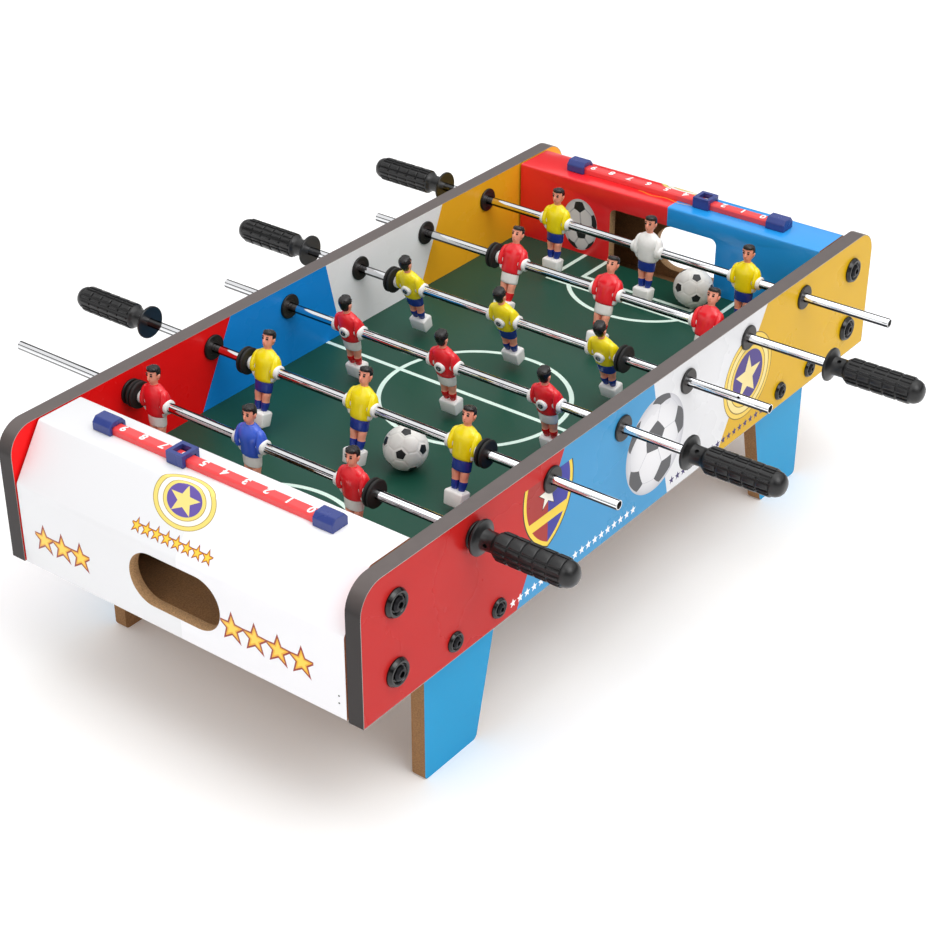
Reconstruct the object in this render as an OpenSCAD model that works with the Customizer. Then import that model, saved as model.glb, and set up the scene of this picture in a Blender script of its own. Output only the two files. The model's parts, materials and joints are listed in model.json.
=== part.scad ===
// Tabletop football table: six sliding, spinning rods with three players each.
// Millimetres, +X along the field, +Y across it, +Z up, origin on the floor under the middle
// of the whole outline. The modules draw the case with its own middle at Y = 0.

/* [View] */
// Which node to draw

/* [Case] */
// Length of a side panel
panel_length = 690; // [684:1:700]
// Width over both side panels
table_width = 340; // [338:1:344]
// Thickness of a side panel
panel_thickness = 13; // [12:0.5:13]
// Height of a side panel
panel_height = 110; // [108:1:112]
// Height of the panel's lower edge above the floor
panel_bottom = 103; // [100:1:106]
// Radius of a panel's upper corners
corner_radius = 22; // [16:1:26]
// Thickness of the edge band
band = 0.6; // [0.4:0.1:0.8]

/* [Playing field] */
// Height of the playing surface
pitch_top = 142; // [141:0.5:142]
// Thickness of the playing board
pitch_board_thickness = 8; // [6:0.5:8]
// Distance from the middle to a goal wall
goal_wall_x = 275; // [273:1:277]
// Width of a goal mouth
goal_width = 111; // [100:1:114]
// Height of a goal mouth
goal_height = 52.5; // [48:0.5:54]
// Radius of a goal mouth's upper corners
goal_corner = 6; // [3:1:9]

/* [End boxes] */
// Thickness of the end box boards
board = 9; // [8:0.5:9]
// Depth of the flat top of an end box
top_depth = 42; // [40:1:44]
// Height by which the sloping board falls
slope_drop = 41.5; // [38:0.5:44]
// Length of a ball return hole
return_width = 87; // [76:1:90]
// Height of a ball return hole
return_height = 43.5; // [40:0.5:44]
// Height of a ball return hole's middle
return_z = 141.5; // [140:0.5:143]

/* [Legs] */
// Distance from the middle to a leg's outer edge
leg_outer_x = 265; // [262:1:266]
// Width of a leg at the floor
leg_foot_width = 60; // [54:1:64]
// How far the inner edge spreads for each millimetre of height
leg_taper = 0.235; // [0.18:0.005:0.25]
// Thickness of a leg
leg_thickness = 12; // [10:0.5:13]
// Radius of a leg's lower corners
leg_corner = 3; // [2:0.5:4]

/* [Rods] */
// Distance between rods
rod_pitch = 90; // [89:0.5:91]
// Height of the rods
rod_z = 194; // [193.5:0.5:194]
// Outer diameter of a rod
tube_diameter = 7.6; // [7.4:0.1:7.6]
// Wall of a rod
tube_wall = 0.9; // [0.7:0.1:1.2]
// Running clearance of a rod on its radius
running = 0.06; // [0.04:0.01:0.09]
// Diameter of a bushing's flanges
flange_diameter = 21; // [19:0.5:22]
// Thickness of a bushing's flanges
flange_thickness = 2; // [1.6:0.1:2]
// Diameter of a bushing's sleeve
sleeve_diameter = 12; // [11:0.5:13]

/* [Players] */
// Distance between players on a rod
player_pitch = 97; // [95:0.5:97]
// Width over a player's two hubs
player_width = 30.4; // [29:0.2:30.4]
// Diameter of a bumper
bumper_diameter = 22; // [20:0.5:23]
// Length of a bumper
bumper_length = 6.6; // [5:0.2:6.6]

/* [Handles] */
// Length of a handle
handle_length = 80; // [74:1:84]
// Diameter of a handle's grip
grip_diameter = 21.5; // [20:0.5:22.5]
// Diameter of a handle's flange
handle_flange = 27; // [24:0.5:28]

/* [Balls] */
// Diameter of a ball
ball_diameter = 35; // [34:0.5:35]

/* [Score counters] */
// Length of a counter rail
rail_length = 226; // [220:1:230]
// Distance from the middle to a counter rail
rail_x = 296; // [294:1:297]
// Height of a counter rail
rail_height = 6; // [5:0.5:6]

/* [Hidden] */
fine = 96;
round_fn = 48;
gap = 0.1;
inner_y = table_width / 2 - panel_thickness;
panel_top = panel_bottom + panel_height;
box_top = panel_top - 0.5;
box_bottom = panel_bottom + 0.5;
box_end = panel_length / 2 - 0.5;
slope_run = box_end - goal_wall_x - top_depth;
slope_length = sqrt(slope_drop * slope_drop + slope_run * slope_run);
slope_nx = slope_drop / slope_length;
slope_nz = slope_run / slope_length;
slope_in = slope_nx * (goal_wall_x + top_depth) + slope_nz * box_top - board;
mitre_top = [(slope_in - slope_nz * (box_top - board)) / slope_nx, box_top - board];
mitre_end = [box_end - board, (slope_in - slope_nx * (box_end - board)) / slope_nz];
big_screws = [[310, 186], [310, 130]];
small_screws = [[247, 118], [197, 118]];
stop_y = inner_y - flange_thickness;
// For each rod: where its players stand, the side of its handle (-1 front, 1 back), the way
// its players face, their tilt, how far its bare end and its handle lie from its players,
// and whether it has bumpers.
rods = [
    [33.3, -1, -1, 0, 246.5, 208, true],
    [4.0, 1, -1, 13, 231, 222, true],
    [-4.8, -1, 1, 10, 231, 222, false],
    [4.2, 1, 1, 17, 246.5, 208, true],
    [-35.3, -1, -1, 17, 246.5, 208, true],
    [-17.5, 1, -1, 5, 231, 222, false]
];
ball_spots = [[-119.5, -25], [245, -53]];
slider_spots = [31, -30];
end_block = 9;
front_tip = rods[4][0] - rods[4][5] - handle_length;
back_tip = rods[1][0] + rods[1][5] + handle_length;
case_y = -(front_tip + back_tip) / 2;

// Moves a node so that the outline's middle, handles included, stands over the origin.
module placed() {
    translate([0, case_y, 0])
        children();
}

function rod_x(i) = (i - 3.5) * rod_pitch;
function rod_data(i) = rods[i - 1];

// A rod's own cylinder, from y0 to y1 on the axis at (x, z).
module along_y(x, y0, y1, z, d) {
    translate([x, y0, z])
        rotate([-90, 0, 0])
            cylinder(d = d, h = y1 - y0, $fn = round_fn);
}

// A flat profile in X and Z, made solid from y0 to y1.
module prism(y0, y1, points) {
    translate([0, y1, 0])
        rotate([90, 0, 0])
            linear_extrude(height = y1 - y0)
                polygon(points);
}

// A panel's outline: square below, rounded above.
module panel_outline(y0, y1, inset) {
    half = panel_length / 2 - inset;
    low = panel_bottom + inset;
    high = panel_top - inset;
    r = corner_radius - inset;
    translate([-half, y0, low])
        cube([2 * half, y1 - y0, high - low - r]);
    translate([-half + r, y0, low])
        cube([2 * half - 2 * r, y1 - y0, high - low]);
    for (s = [-1, 1])
        translate([s * (half - r), y0, high - r])
            rotate([-90, 0, 0])
                cylinder(r = r, h = y1 - y0, $fn = fine);
}

module side_panel(side) {
    y0 = side < 0 ? -table_width / 2 : inner_y;
    difference() {
        panel_outline(y0, y0 + panel_thickness, band);
        for (i = [1 : 6])
            along_y(rod_x(i), y0 - 1, y0 + panel_thickness + 1, rod_z, sleeve_diameter + gap);
        for (s = [-1, 1]) {
            for (p = big_screws)
                along_y(s * p[0], y0 - 1, y0 + panel_thickness + 1, p[1], 6.2);
            for (p = small_screws)
                along_y(s * p[0], y0 - 1, y0 + panel_thickness + 1, p[1], 5.2);
        }
    }
}

module edge_bands() {
    color("DimGray")
        for (y0 = [-table_width / 2, inner_y])
            difference() {
                panel_outline(y0, y0 + panel_thickness, 0);
                panel_outline(y0 - 1, y0 + panel_thickness + 1, band);
            }
}

module pitch_board() {
    color("SeaGreen")
        translate([-goal_wall_x + gap, -inner_y + gap, pitch_top - pitch_board_thickness])
            cube([
                2 * (goal_wall_x - gap), 2 * (inner_y - gap), pitch_board_thickness
            ]);
}

// The opening of a goal, cut right through the goal wall.
module goal_mouth() {
    half = goal_width / 2;
    top = pitch_top + goal_height;
    x0 = goal_wall_x - 1;
    depth = board + 2;
    translate([x0, -half, pitch_top])
        cube([depth, goal_width, goal_height - goal_corner]);
    translate([x0, -half + goal_corner, pitch_top])
        cube([depth, goal_width - 2 * goal_corner, goal_height]);
    for (s = [-1, 1])
        translate([x0, s * (half - goal_corner), top - goal_corner])
            rotate([0, 90, 0])
                cylinder(r = goal_corner, h = depth, $fn = round_fn);
}

module goal_wall() {
    difference() {
        translate([goal_wall_x, -inner_y + gap, box_bottom])
            cube([board, 2 * (inner_y - gap), box_top - board - gap - box_bottom]);
        goal_mouth();
    }
}

module box_top_board() {
    prism(-inner_y + gap, inner_y - gap, [
        [goal_wall_x, box_top],
        [goal_wall_x + top_depth - gap, box_top],
        [mitre_top[0] - gap, mitre_top[1]],
        [goal_wall_x, box_top - board]
    ]);
}

module box_slope_board() {
    prism(-inner_y + gap, inner_y - gap, [
        [goal_wall_x + top_depth, box_top],
        [box_end, box_top - slope_drop],
        mitre_end,
        mitre_top
    ]);
}

module box_outer_board() {
    half = (return_width - return_height) / 2;
    difference() {
        prism(-inner_y + gap, inner_y - gap, [
            [box_end, box_top - slope_drop - gap],
            [box_end, box_bottom],
            [box_end - board, box_bottom],
            [mitre_end[0], mitre_end[1] - gap]
        ]);
        translate([box_end - board - 1, -half, return_z - return_height / 2])
            cube([board + 2, 2 * half, return_height]);
        for (s = [-1, 1])
            translate([box_end - board - 1, s * half, return_z])
                rotate([0, 90, 0])
                    cylinder(d = return_height, h = board + 2, $fn = fine);
    }
}

module box_floor() {
    translate([goal_wall_x + board + gap, -inner_y + gap, box_bottom])
        cube([box_end - goal_wall_x - 2 * (board + gap), 2 * (inner_y - gap), board]);
}

module box_floors() {
    box_floor();
    near_end()
        box_floor();
}

module box_cheeks() {
    for (side = [-1, 1]) {
        box_cheek(side);
        near_end()
            box_cheek(side);
    }
}

module box_cheek(side) {
    y0 = side < 0 ? -inner_y + 2 * gap : inner_y - 2 * gap - board;
    x0 = goal_wall_x + board + gap;
    low = box_bottom + board + gap;
    difference() {
        prism(y0, y0 + board, [
            [x0, low],
            [box_end - board - gap, low],
            [box_end - board - gap, mitre_end[1] - 2 * gap],
            [mitre_top[0] - 2 * gap, box_top - board - gap],
            [x0, box_top - board - gap]
        ]);
        for (p = big_screws)
            along_y(p[0], y0 - 1, y0 + board + 1, p[1], 6.2);
    }
}

// Both ends are alike, so one end is drawn and the other is its mirror image.
module near_end() {
    mirror([1, 0, 0])
        children();
}

module leg(sx, sy) {
    top = pitch_top - pitch_board_thickness - gap;
    in0 = leg_outer_x - leg_foot_width;
    r = leg_corner;
    points = [
        [leg_outer_x, r],
        [leg_outer_x, top],
        [in0 - leg_taper * top, top],
        [in0 - leg_taper * r, r],
        [in0 + 0.35 * r, 0.25 * r],
        [in0 + r, 0],
        [leg_outer_x - r, 0],
        [leg_outer_x - 0.3 * r, 0.3 * r]
    ];
    y0 = sy < 0 ? -inner_y + 2 * gap : inner_y - 2 * gap - leg_thickness;
    scale_x = sx < 0 ? 1 : 0;
    difference() {
        mirror([scale_x, 0, 0])
            prism(y0, y0 + leg_thickness, points);
        for (p = small_screws)
            along_y(sx * p[0], y0 - 1, y0 + leg_thickness + 1, p[1], 5.2);
    }
}

// A pan-head screw with a hexagon socket, its head outwards on the side sy.
module socket_screw(x, z, sy, lift, head, head_height, shank, reach) {
    face = table_width / 2 + lift;
    translate([x, sy * face, z])
        rotate([sy < 0 ? 90 : -90, 0, 0])
            difference() {
                union() {
                    rotate_extrude($fn = round_fn)
                        polygon([
                            [0, 0],
                            [head / 2, 0],
                            [head / 2, head_height * 0.55],
                            [head * 0.34, head_height],
                            [0, head_height]
                        ]);
                    translate([0, 0, -reach])
                        cylinder(d = shank, h = reach + 0.5, $fn = round_fn);
                }
                translate([0, 0, head_height * 0.4])
                    cylinder(d = head * 0.46, h = head_height, $fn = 6);
            }
}

// A cup washer: a shallow dished ring under a screw head.
module cup_washer(x, z, sy, d, height, bore) {
    translate([x, sy * (table_width / 2 + 0.05), z])
        rotate([sy < 0 ? 90 : -90, 0, 0])
            rotate_extrude($fn = round_fn)
                polygon([
                    [bore / 2, 0],
                    [d / 2, 0],
                    [d / 2, height * 0.3],
                    [d * 0.43, height],
                    [d * 0.36, height],
                    [d * 0.3, height * 0.42],
                    [bore / 2, height * 0.42]
                ]);
}

module leg_screws() {
    color("DarkSlateGray")
        for (sx = [-1, 1], sy = [-1, 1], p = small_screws)
            socket_screw(sx * p[0], p[1], sy, 1.2, 8.4, 2.6, 5, panel_thickness + leg_thickness);
}

module leg_washers() {
    color("Black")
        for (sx = [-1, 1], sy = [-1, 1], p = small_screws)
            cup_washer(sx * p[0], p[1], sy, 16, 2.6, 5.2);
}

module box_screws() {
    color("DarkSlateGray")
        for (sx = [-1, 1], sy = [-1, 1], p = big_screws)
            socket_screw(sx * p[0], p[1], sy, 1.6, 11.4, 3.4, 6, panel_thickness + board);
}

module box_washers() {
    color("Black")
        for (sx = [-1, 1], sy = [-1, 1], p = big_screws)
            cup_washer(sx * p[0], p[1], sy, 22, 3.6, 6.2);
}

// A bushing is a flanged sleeve from outside and a ring pressed on its end inside.
module bushing(x, sy) {
    bore = tube_diameter / 2 + running;
    outer = table_width / 2;
    translate([x, 0, rod_z])
        rotate([sy < 0 ? 90 : -90, 0, 0]) {
            rotate_extrude($fn = round_fn)
                polygon([
                    [bore, stop_y],
                    [bore, outer + flange_thickness],
                    [flange_diameter / 2 - 0.6, outer + flange_thickness],
                    [flange_diameter / 2, outer + flange_thickness - 0.6],
                    [flange_diameter / 2, outer + 0.05],
                    [sleeve_diameter / 2, outer + 0.05],
                    [sleeve_diameter / 2, stop_y]
                ]);
            rotate_extrude($fn = round_fn)
                polygon([
                    [sleeve_diameter / 2 + gap / 2, stop_y],
                    [sleeve_diameter / 2 + gap / 2, inner_y - 0.05],
                    [flange_diameter / 2, inner_y - 0.05],
                    [flange_diameter / 2, stop_y + 0.6],
                    [flange_diameter / 2 - 0.6, stop_y]
                ]);
        }
}

module bushings(sy) {
    color("Black")
        for (i = [1 : 6])
            bushing(rod_x(i), sy);
}

module score_rail() {
    color("Tomato")
        prism(-rail_length / 2 + end_block, rail_length / 2 - end_block, [
            [rail_x - 5, box_top + 0.05],
            [rail_x + 5, box_top + 0.05],
            [rail_x + 5, box_top + rail_height - 1.5],
            [rail_x + 3.5, box_top + rail_height],
            [rail_x - 3.5, box_top + rail_height],
            [rail_x - 5, box_top + rail_height - 1.5]
        ]);
}

// The two blocks that cap one rail, each notched to take the rail's end.
module rail_ends() {
    for (s = [-1, 1])
        difference() {
            translate([0, s * (rail_length / 2 - end_block), 0])
                prism(-end_block, end_block, [
                    [rail_x - 8, box_top + 0.05],
                    [rail_x + 8, box_top + 0.05],
                    [rail_x + 8, box_top + 6.5],
                    [rail_x + 4.5, box_top + 10.5],
                    [rail_x - 4.5, box_top + 10.5],
                    [rail_x - 8, box_top + 6.5]
                ]);
            translate([rail_x - 5.1, -rail_length / 2 + end_block - gap, box_top - 1])
                cube([10.2, rail_length - 2 * end_block + 2 * gap, rail_height + 1 + gap]);
        }
}

module score_ends() {
    color("RoyalBlue") {
        rail_ends();
        near_end()
            rail_ends();
    }
}

// A counter: a square frame that straddles the rail, with a window over the number.
module score_slider(y) {
    clear = 0.35;
    low = box_top + 0.4;
    color("RoyalBlue")
        translate([rail_x, y, 0])
            difference() {
                translate([-8.5, -8, low])
                    cube([17, 16, 9.6]);
                translate([-5 - clear, -9, low - 1])
                    cube([10 + 2 * clear, 18, rail_height - 0.4 + 1 + clear]);
                translate([-5, -4.7, low])
                    cube([10, 9.4, 11]);
            }
}

// Everything on a rod is drawn round the rod's axis, from the middle of its players.
module on_rod(i) {
    d = rod_data(i);
    translate([rod_x(i), d[0], rod_z])
        children();
}

module tube(i) {
    d = rod_data(i);
    s = d[1];
    y0 = s * (d[5] + 44);
    y1 = -s * d[4];
    color("Silver")
        on_rod(i)
            difference() {
                along_y(0, min(y0, y1), max(y0, y1), 0, tube_diameter);
                along_y(0, min(y0, y1) - 1, max(y0, y1) + 1, 0, tube_diameter - 2 * tube_wall);
            }
}

module bumpers(i) {
    start = player_pitch + player_width / 2 + 0.4;
    r = bumper_diameter / 2;
    l = bumper_length;
    color("Black")
        on_rod(i)
            for (s = [-1, 1])
                rotate([s < 0 ? 90 : -90, 0, 0])
                    translate([0, 0, start])
                        rotate_extrude($fn = round_fn)
                            polygon([
                                [tube_diameter / 2 + 0.02, 0],
                                [r - 1, 0],
                                [r, 0.7],
                                [r, l * 0.32],
                                [r - 2.4, l * 0.5],
                                [r, l * 0.68],
                                [r, l - 0.7],
                                [r - 1, l],
                                [tube_diameter / 2 + 0.02, l]
                            ]);
}

module handle(i) {
    d = rod_data(i);
    r = grip_diameter / 2;
    bore = tube_diameter / 2 + running;
    end = handle_length;
    color("Black")
        on_rod(i)
            rotate([d[1] < 0 ? 90 : -90, 0, 0])
                translate([0, 0, d[5]])
                    difference() {
                        rotate_extrude($fn = round_fn)
                            polygon([
                                [bore, 0],
                                [handle_flange / 2 - 0.5, 0],
                                [handle_flange / 2, 0.5],
                                [handle_flange / 2, 2.2],
                                [handle_flange / 2 - 2, 3.2],
                                [7.8, 4.4],
                                [7.4, 12],
                                [8, 14],
                                [r - 0.8, 18],
                                [r, 20],
                                [r, end - 10],
                                [r - 0.9, end - 6],
                                [r - 3.2, end - 2.2],
                                [r - 6.2, end - 0.4],
                                [r - 8, end],
                                [0, end],
                                [0, 46],
                                [bore, 46]
                            ]);
                        translate([0, 0, 9.5])
                            rotate([0, 90, 0])
                                cylinder(d = 3.4, h = 20, $fn = round_fn);
                    }
}

// One player round its rod's axis, facing +X.
module player() {
    half = player_width / 2;
    difference() {
        union() {
            intersection() {
                translate([-12, 0, 0])
                    rotate([90, 0, 90])
                        linear_extrude(height = 24)
                            polygon([
                                [-6.5, -34.5], [6.5, -34.5], [7.6, -28], [8.2, -19],
                                [9.8, -18.5], [10.2, -10], [12, -4], [12.6, 4],
                                [12.4, 9], [10, 13.5], [4, 16], [3.6, 19],
                                [-3.6, 19], [-4, 16], [-10, 13.5], [-12.4, 9],
                                [-12.6, 4], [-12, -4], [-10.2, -10], [-9.8, -18.5],
                                [-8.2, -19], [-7.6, -28]
                            ]);
                prism(-14, 14, [
                    [-3.6, -34.5], [3.4, -34.5], [4.2, -26], [5.6, -18],
                    [6.6, -8], [7.4, 2], [7.2, 9], [4.6, 14.5],
                    [3, 19], [-4, 19], [-5.4, 14.5], [-6.6, 8],
                    [-6.8, -2], [-6, -10], [-5.6, -19], [-4.4, -26]
                ]);
            }
            along_y(0, -half, half, 0, 11.6);
            translate([0.4, 0, 24.2])
                sphere(d = 14.6, $fn = round_fn);
            translate([-5, -8.3, -47.3])
                cube([12, 16.6, 12.9]);
            translate([-8.4, 0, 0])
                rotate([0, 90, 0])
                    cylinder(d = 9, h = 6, $fn = round_fn);
        }
        along_y(0, -half - 1, half + 1, 0, tube_diameter + 2 * running);
        translate([-9, 0, 0])
            rotate([0, 90, 0])
                cylinder(d = 5.4, h = 7, $fn = round_fn);
    }
}

// Places a player at one station of a rod, turned the way it faces and tilted.
module at_station(i, n) {
    d = rod_data(i);
    on_rod(i)
        translate([0, n * player_pitch, 0])
            rotate([0, d[3] * (d[2] < 0 ? 1 : -1), 0])
                rotate([0, 0, d[2] < 0 ? 180 : 0])
                    children();
}

module players(i, paint) {
    color(paint)
        for (n = [-1 : 1])
            at_station(i, n)
                player();
}

// The screws that hold players and handle to the rod, each stopping short of the rod.
module fixings(i) {
    d = rod_data(i);
    color("Gainsboro") {
        for (n = [-1 : 1])
            at_station(i, n)
                translate([-7.6, 0, 0])
                    rotate([0, 90, 0])
                        difference() {
                            cylinder(d = 5, h = 3.5, $fn = round_fn);
                            translate([-0.5, -2, -1])
                                cube([1, 4, 1.8]);
                            translate([-2, -0.5, -1])
                                cube([4, 1, 1.8]);
                        }
        on_rod(i)
            rotate([d[1] < 0 ? 90 : -90, 0, 0])
                translate([4.1, 0, d[5] + 9.5])
                    rotate([0, 90, 0])
                        cylinder(d = 3.2, h = 2.4, $fn = round_fn);
    }
}

module ball(n) {
    spot = ball_spots[n];
    color("White")
        translate([spot[0], spot[1], pitch_top + 0.3 + ball_diameter / 2])
            sphere(d = ball_diameter, $fn = fine);
}

placed() color("Tomato") side_panel(-1);  // side_panel_front
placed() color("Firebrick") side_panel(1);  // side_panel_back
placed() edge_bands();
placed() pitch_board();
placed() color("White") near_end() goal_wall();  // near_goal_wall
placed() color("Crimson") goal_wall();  // far_goal_wall
placed() color("White") near_end() box_top_board();  // near_box_top
placed() color("Crimson") box_top_board();  // far_box_top
placed() color("White") near_end() box_slope_board();  // near_box_slope
placed() color("Crimson") box_slope_board();  // far_box_slope
placed() color("White") near_end() box_outer_board();  // near_box_outer
placed() color("Crimson") box_outer_board();  // far_box_outer
placed() color("Peru") box_floors();
placed() color("Peru") box_cheeks();
placed() color("SteelBlue") leg(-1, -1);  // leg_near_front
placed() color("SteelBlue") leg(-1, 1);  // leg_near_back
placed() color("SteelBlue") leg(1, -1);  // leg_far_front
placed() color("SteelBlue") leg(1, 1);  // leg_far_back
placed() leg_screws();
placed() leg_washers();
placed() box_screws();
placed() box_washers();
placed() bushings(-1);  // bushings_front
placed() bushings(1);  // bushings_back
placed() near_end() score_rail();  // near_score_rail
placed() score_rail();  // far_score_rail
placed() score_ends();
placed() near_end() score_slider(slider_spots[0]);  // near_score_slider
placed() score_slider(slider_spots[1]);  // far_score_slider
placed() tube(1);  // tube_1
placed() tube(2);  // tube_2
placed() tube(3);  // tube_3
placed() tube(4);  // tube_4
placed() tube(5);  // tube_5
placed() tube(6);  // tube_6
placed() bumpers(1);  // bumpers_1
placed() bumpers(2);  // bumpers_2
placed() bumpers(4);  // bumpers_4
placed() bumpers(5);  // bumpers_5
placed() handle(1);  // handle_1
placed() handle(2);  // handle_2
placed() handle(3);  // handle_3
placed() handle(4);  // handle_4
placed() handle(5);  // handle_5
placed() handle(6);  // handle_6
placed() players(1, "Red");  // players_1
placed() players(2, "Gold");  // players_2
placed() players(3, "Red");  // players_3
placed() players(4, "Gold");  // players_4
placed() players(5, "Red");  // players_5
placed() players(6, "Gold");  // players_6
placed() fixings(1);  // fixings_1
placed() fixings(2);  // fixings_2
placed() fixings(3);  // fixings_3
placed() fixings(4);  // fixings_4
placed() fixings(5);  // fixings_5
placed() fixings(6);  // fixings_6
placed() ball(0);  // ball_near
placed() ball(1);  // ball_far
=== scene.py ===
"""Looks of a tabletop football table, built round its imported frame.

Every length below is in millimetres unless its name says otherwise, and every position is
counted from the middle of the case, which lies beside the frame's own origin.
"""

from __future__ import annotations

import json
import logging
import math
from contextlib import contextmanager
from dataclasses import dataclass, field
from enum import Enum
from typing import Callable, Iterator, Sequence

import bpy
from mathutils import Matrix, Vector

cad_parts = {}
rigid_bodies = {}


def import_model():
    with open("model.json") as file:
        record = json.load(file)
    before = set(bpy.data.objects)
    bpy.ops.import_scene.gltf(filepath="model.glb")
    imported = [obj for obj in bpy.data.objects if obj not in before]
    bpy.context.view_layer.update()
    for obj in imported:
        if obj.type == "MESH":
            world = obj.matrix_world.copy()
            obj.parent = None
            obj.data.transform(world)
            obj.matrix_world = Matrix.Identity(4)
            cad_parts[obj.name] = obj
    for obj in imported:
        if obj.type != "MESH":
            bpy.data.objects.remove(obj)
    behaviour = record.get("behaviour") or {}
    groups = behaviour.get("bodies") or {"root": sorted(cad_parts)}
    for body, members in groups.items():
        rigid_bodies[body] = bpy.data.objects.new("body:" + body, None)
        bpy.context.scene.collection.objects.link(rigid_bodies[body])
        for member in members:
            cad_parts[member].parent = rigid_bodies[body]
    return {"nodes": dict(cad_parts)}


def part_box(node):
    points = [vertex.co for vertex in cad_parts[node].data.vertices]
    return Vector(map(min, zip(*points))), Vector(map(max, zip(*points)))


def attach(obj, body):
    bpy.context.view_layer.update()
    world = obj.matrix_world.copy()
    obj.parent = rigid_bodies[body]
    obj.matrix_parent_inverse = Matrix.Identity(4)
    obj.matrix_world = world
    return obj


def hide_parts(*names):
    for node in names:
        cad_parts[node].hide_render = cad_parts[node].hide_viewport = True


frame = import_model()

MM = 0.001
LOG = logging.getLogger("football_table")
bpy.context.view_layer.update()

Socket = bpy.types.NodeSocket
Piece = bpy.types.Object
Point = tuple[float, float]
Test = Callable[[Vector, Vector], bool]
Rule = Callable[[Vector, Vector], int]


def box_mm(node: str) -> tuple[Vector, Vector]:
    """Gives a CAD node's lowest and highest corner.

    Args:
        node: The node's name.

    Returns:
        Both corners in millimetres, in the frame.
    """
    low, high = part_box(node)
    return low / MM, high / MM


CASE_Y = (box_mm("side_panel_front")[0].y + box_mm("side_panel_back")[1].y) / 2
PANEL_OUT = box_mm("side_panel_back")[1].y - CASE_Y
PITCH_TOP = box_mm("pitch_board")[1].z
ROD_Z = (box_mm("tube_1")[0].z + box_mm("tube_1")[1].z) / 2
ROD_PITCH = 90.0
BOX_TOP = box_mm("far_box_top")[1].z
# Where an end box folds: from its top to its slope, and from its slope to its outer face.
FOLD_X = 317.0
FOLD_Z = 171.0
# How long the slope is for every millimetre that it runs outwards.
SLOPE_STRETCH = 49.8 / 27.5
# How far a football's pentagons and hexagons lie from its middle, for seams of length 1.
PENTAGON_FAR = 2.32744
HEXAGON_FAR = 2.26728


def rod_x(number: int) -> float:
    """Gives where a rod lies along the field."""
    return (number - 3.5) * ROD_PITCH


# ---------------------------------------------------------------- colours and nodes


def linear(code: str) -> tuple[float, float, float, float]:
    """Turns an sRGB hex colour to linear light.

    Args:
        code: The colour, such as "#D0342C".

    Returns:
        Red, green, blue and alpha, linear.
    """
    parts = [int(code[i : i + 2], 16) / 255 for i in (1, 3, 5)]
    turned = [p / 12.92 if p <= 0.04045 else ((p + 0.055) / 1.055) ** 2.4 for p in parts]
    return turned[0], turned[1], turned[2], 1.0


def add_node(
    tree: bpy.types.NodeTree, kind: str, inputs: dict | None = None, **settings: object
) -> bpy.types.Node:
    """Adds one shader node with its settings and its links.

    Args:
        tree: The node tree.
        kind: The node's type.
        inputs: For each input, by name or number, a socket to link or a value to set.
        **settings: Properties of the node.

    Returns:
        The new node.
    """
    made = tree.nodes.new(kind)
    for name, value in settings.items():
        setattr(made, name, value)
    for key, value in (inputs or {}).items():
        if isinstance(value, bpy.types.NodeSocket):
            tree.links.new(value, made.inputs[key])
        else:
            made.inputs[key].default_value = value
    return made


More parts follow.
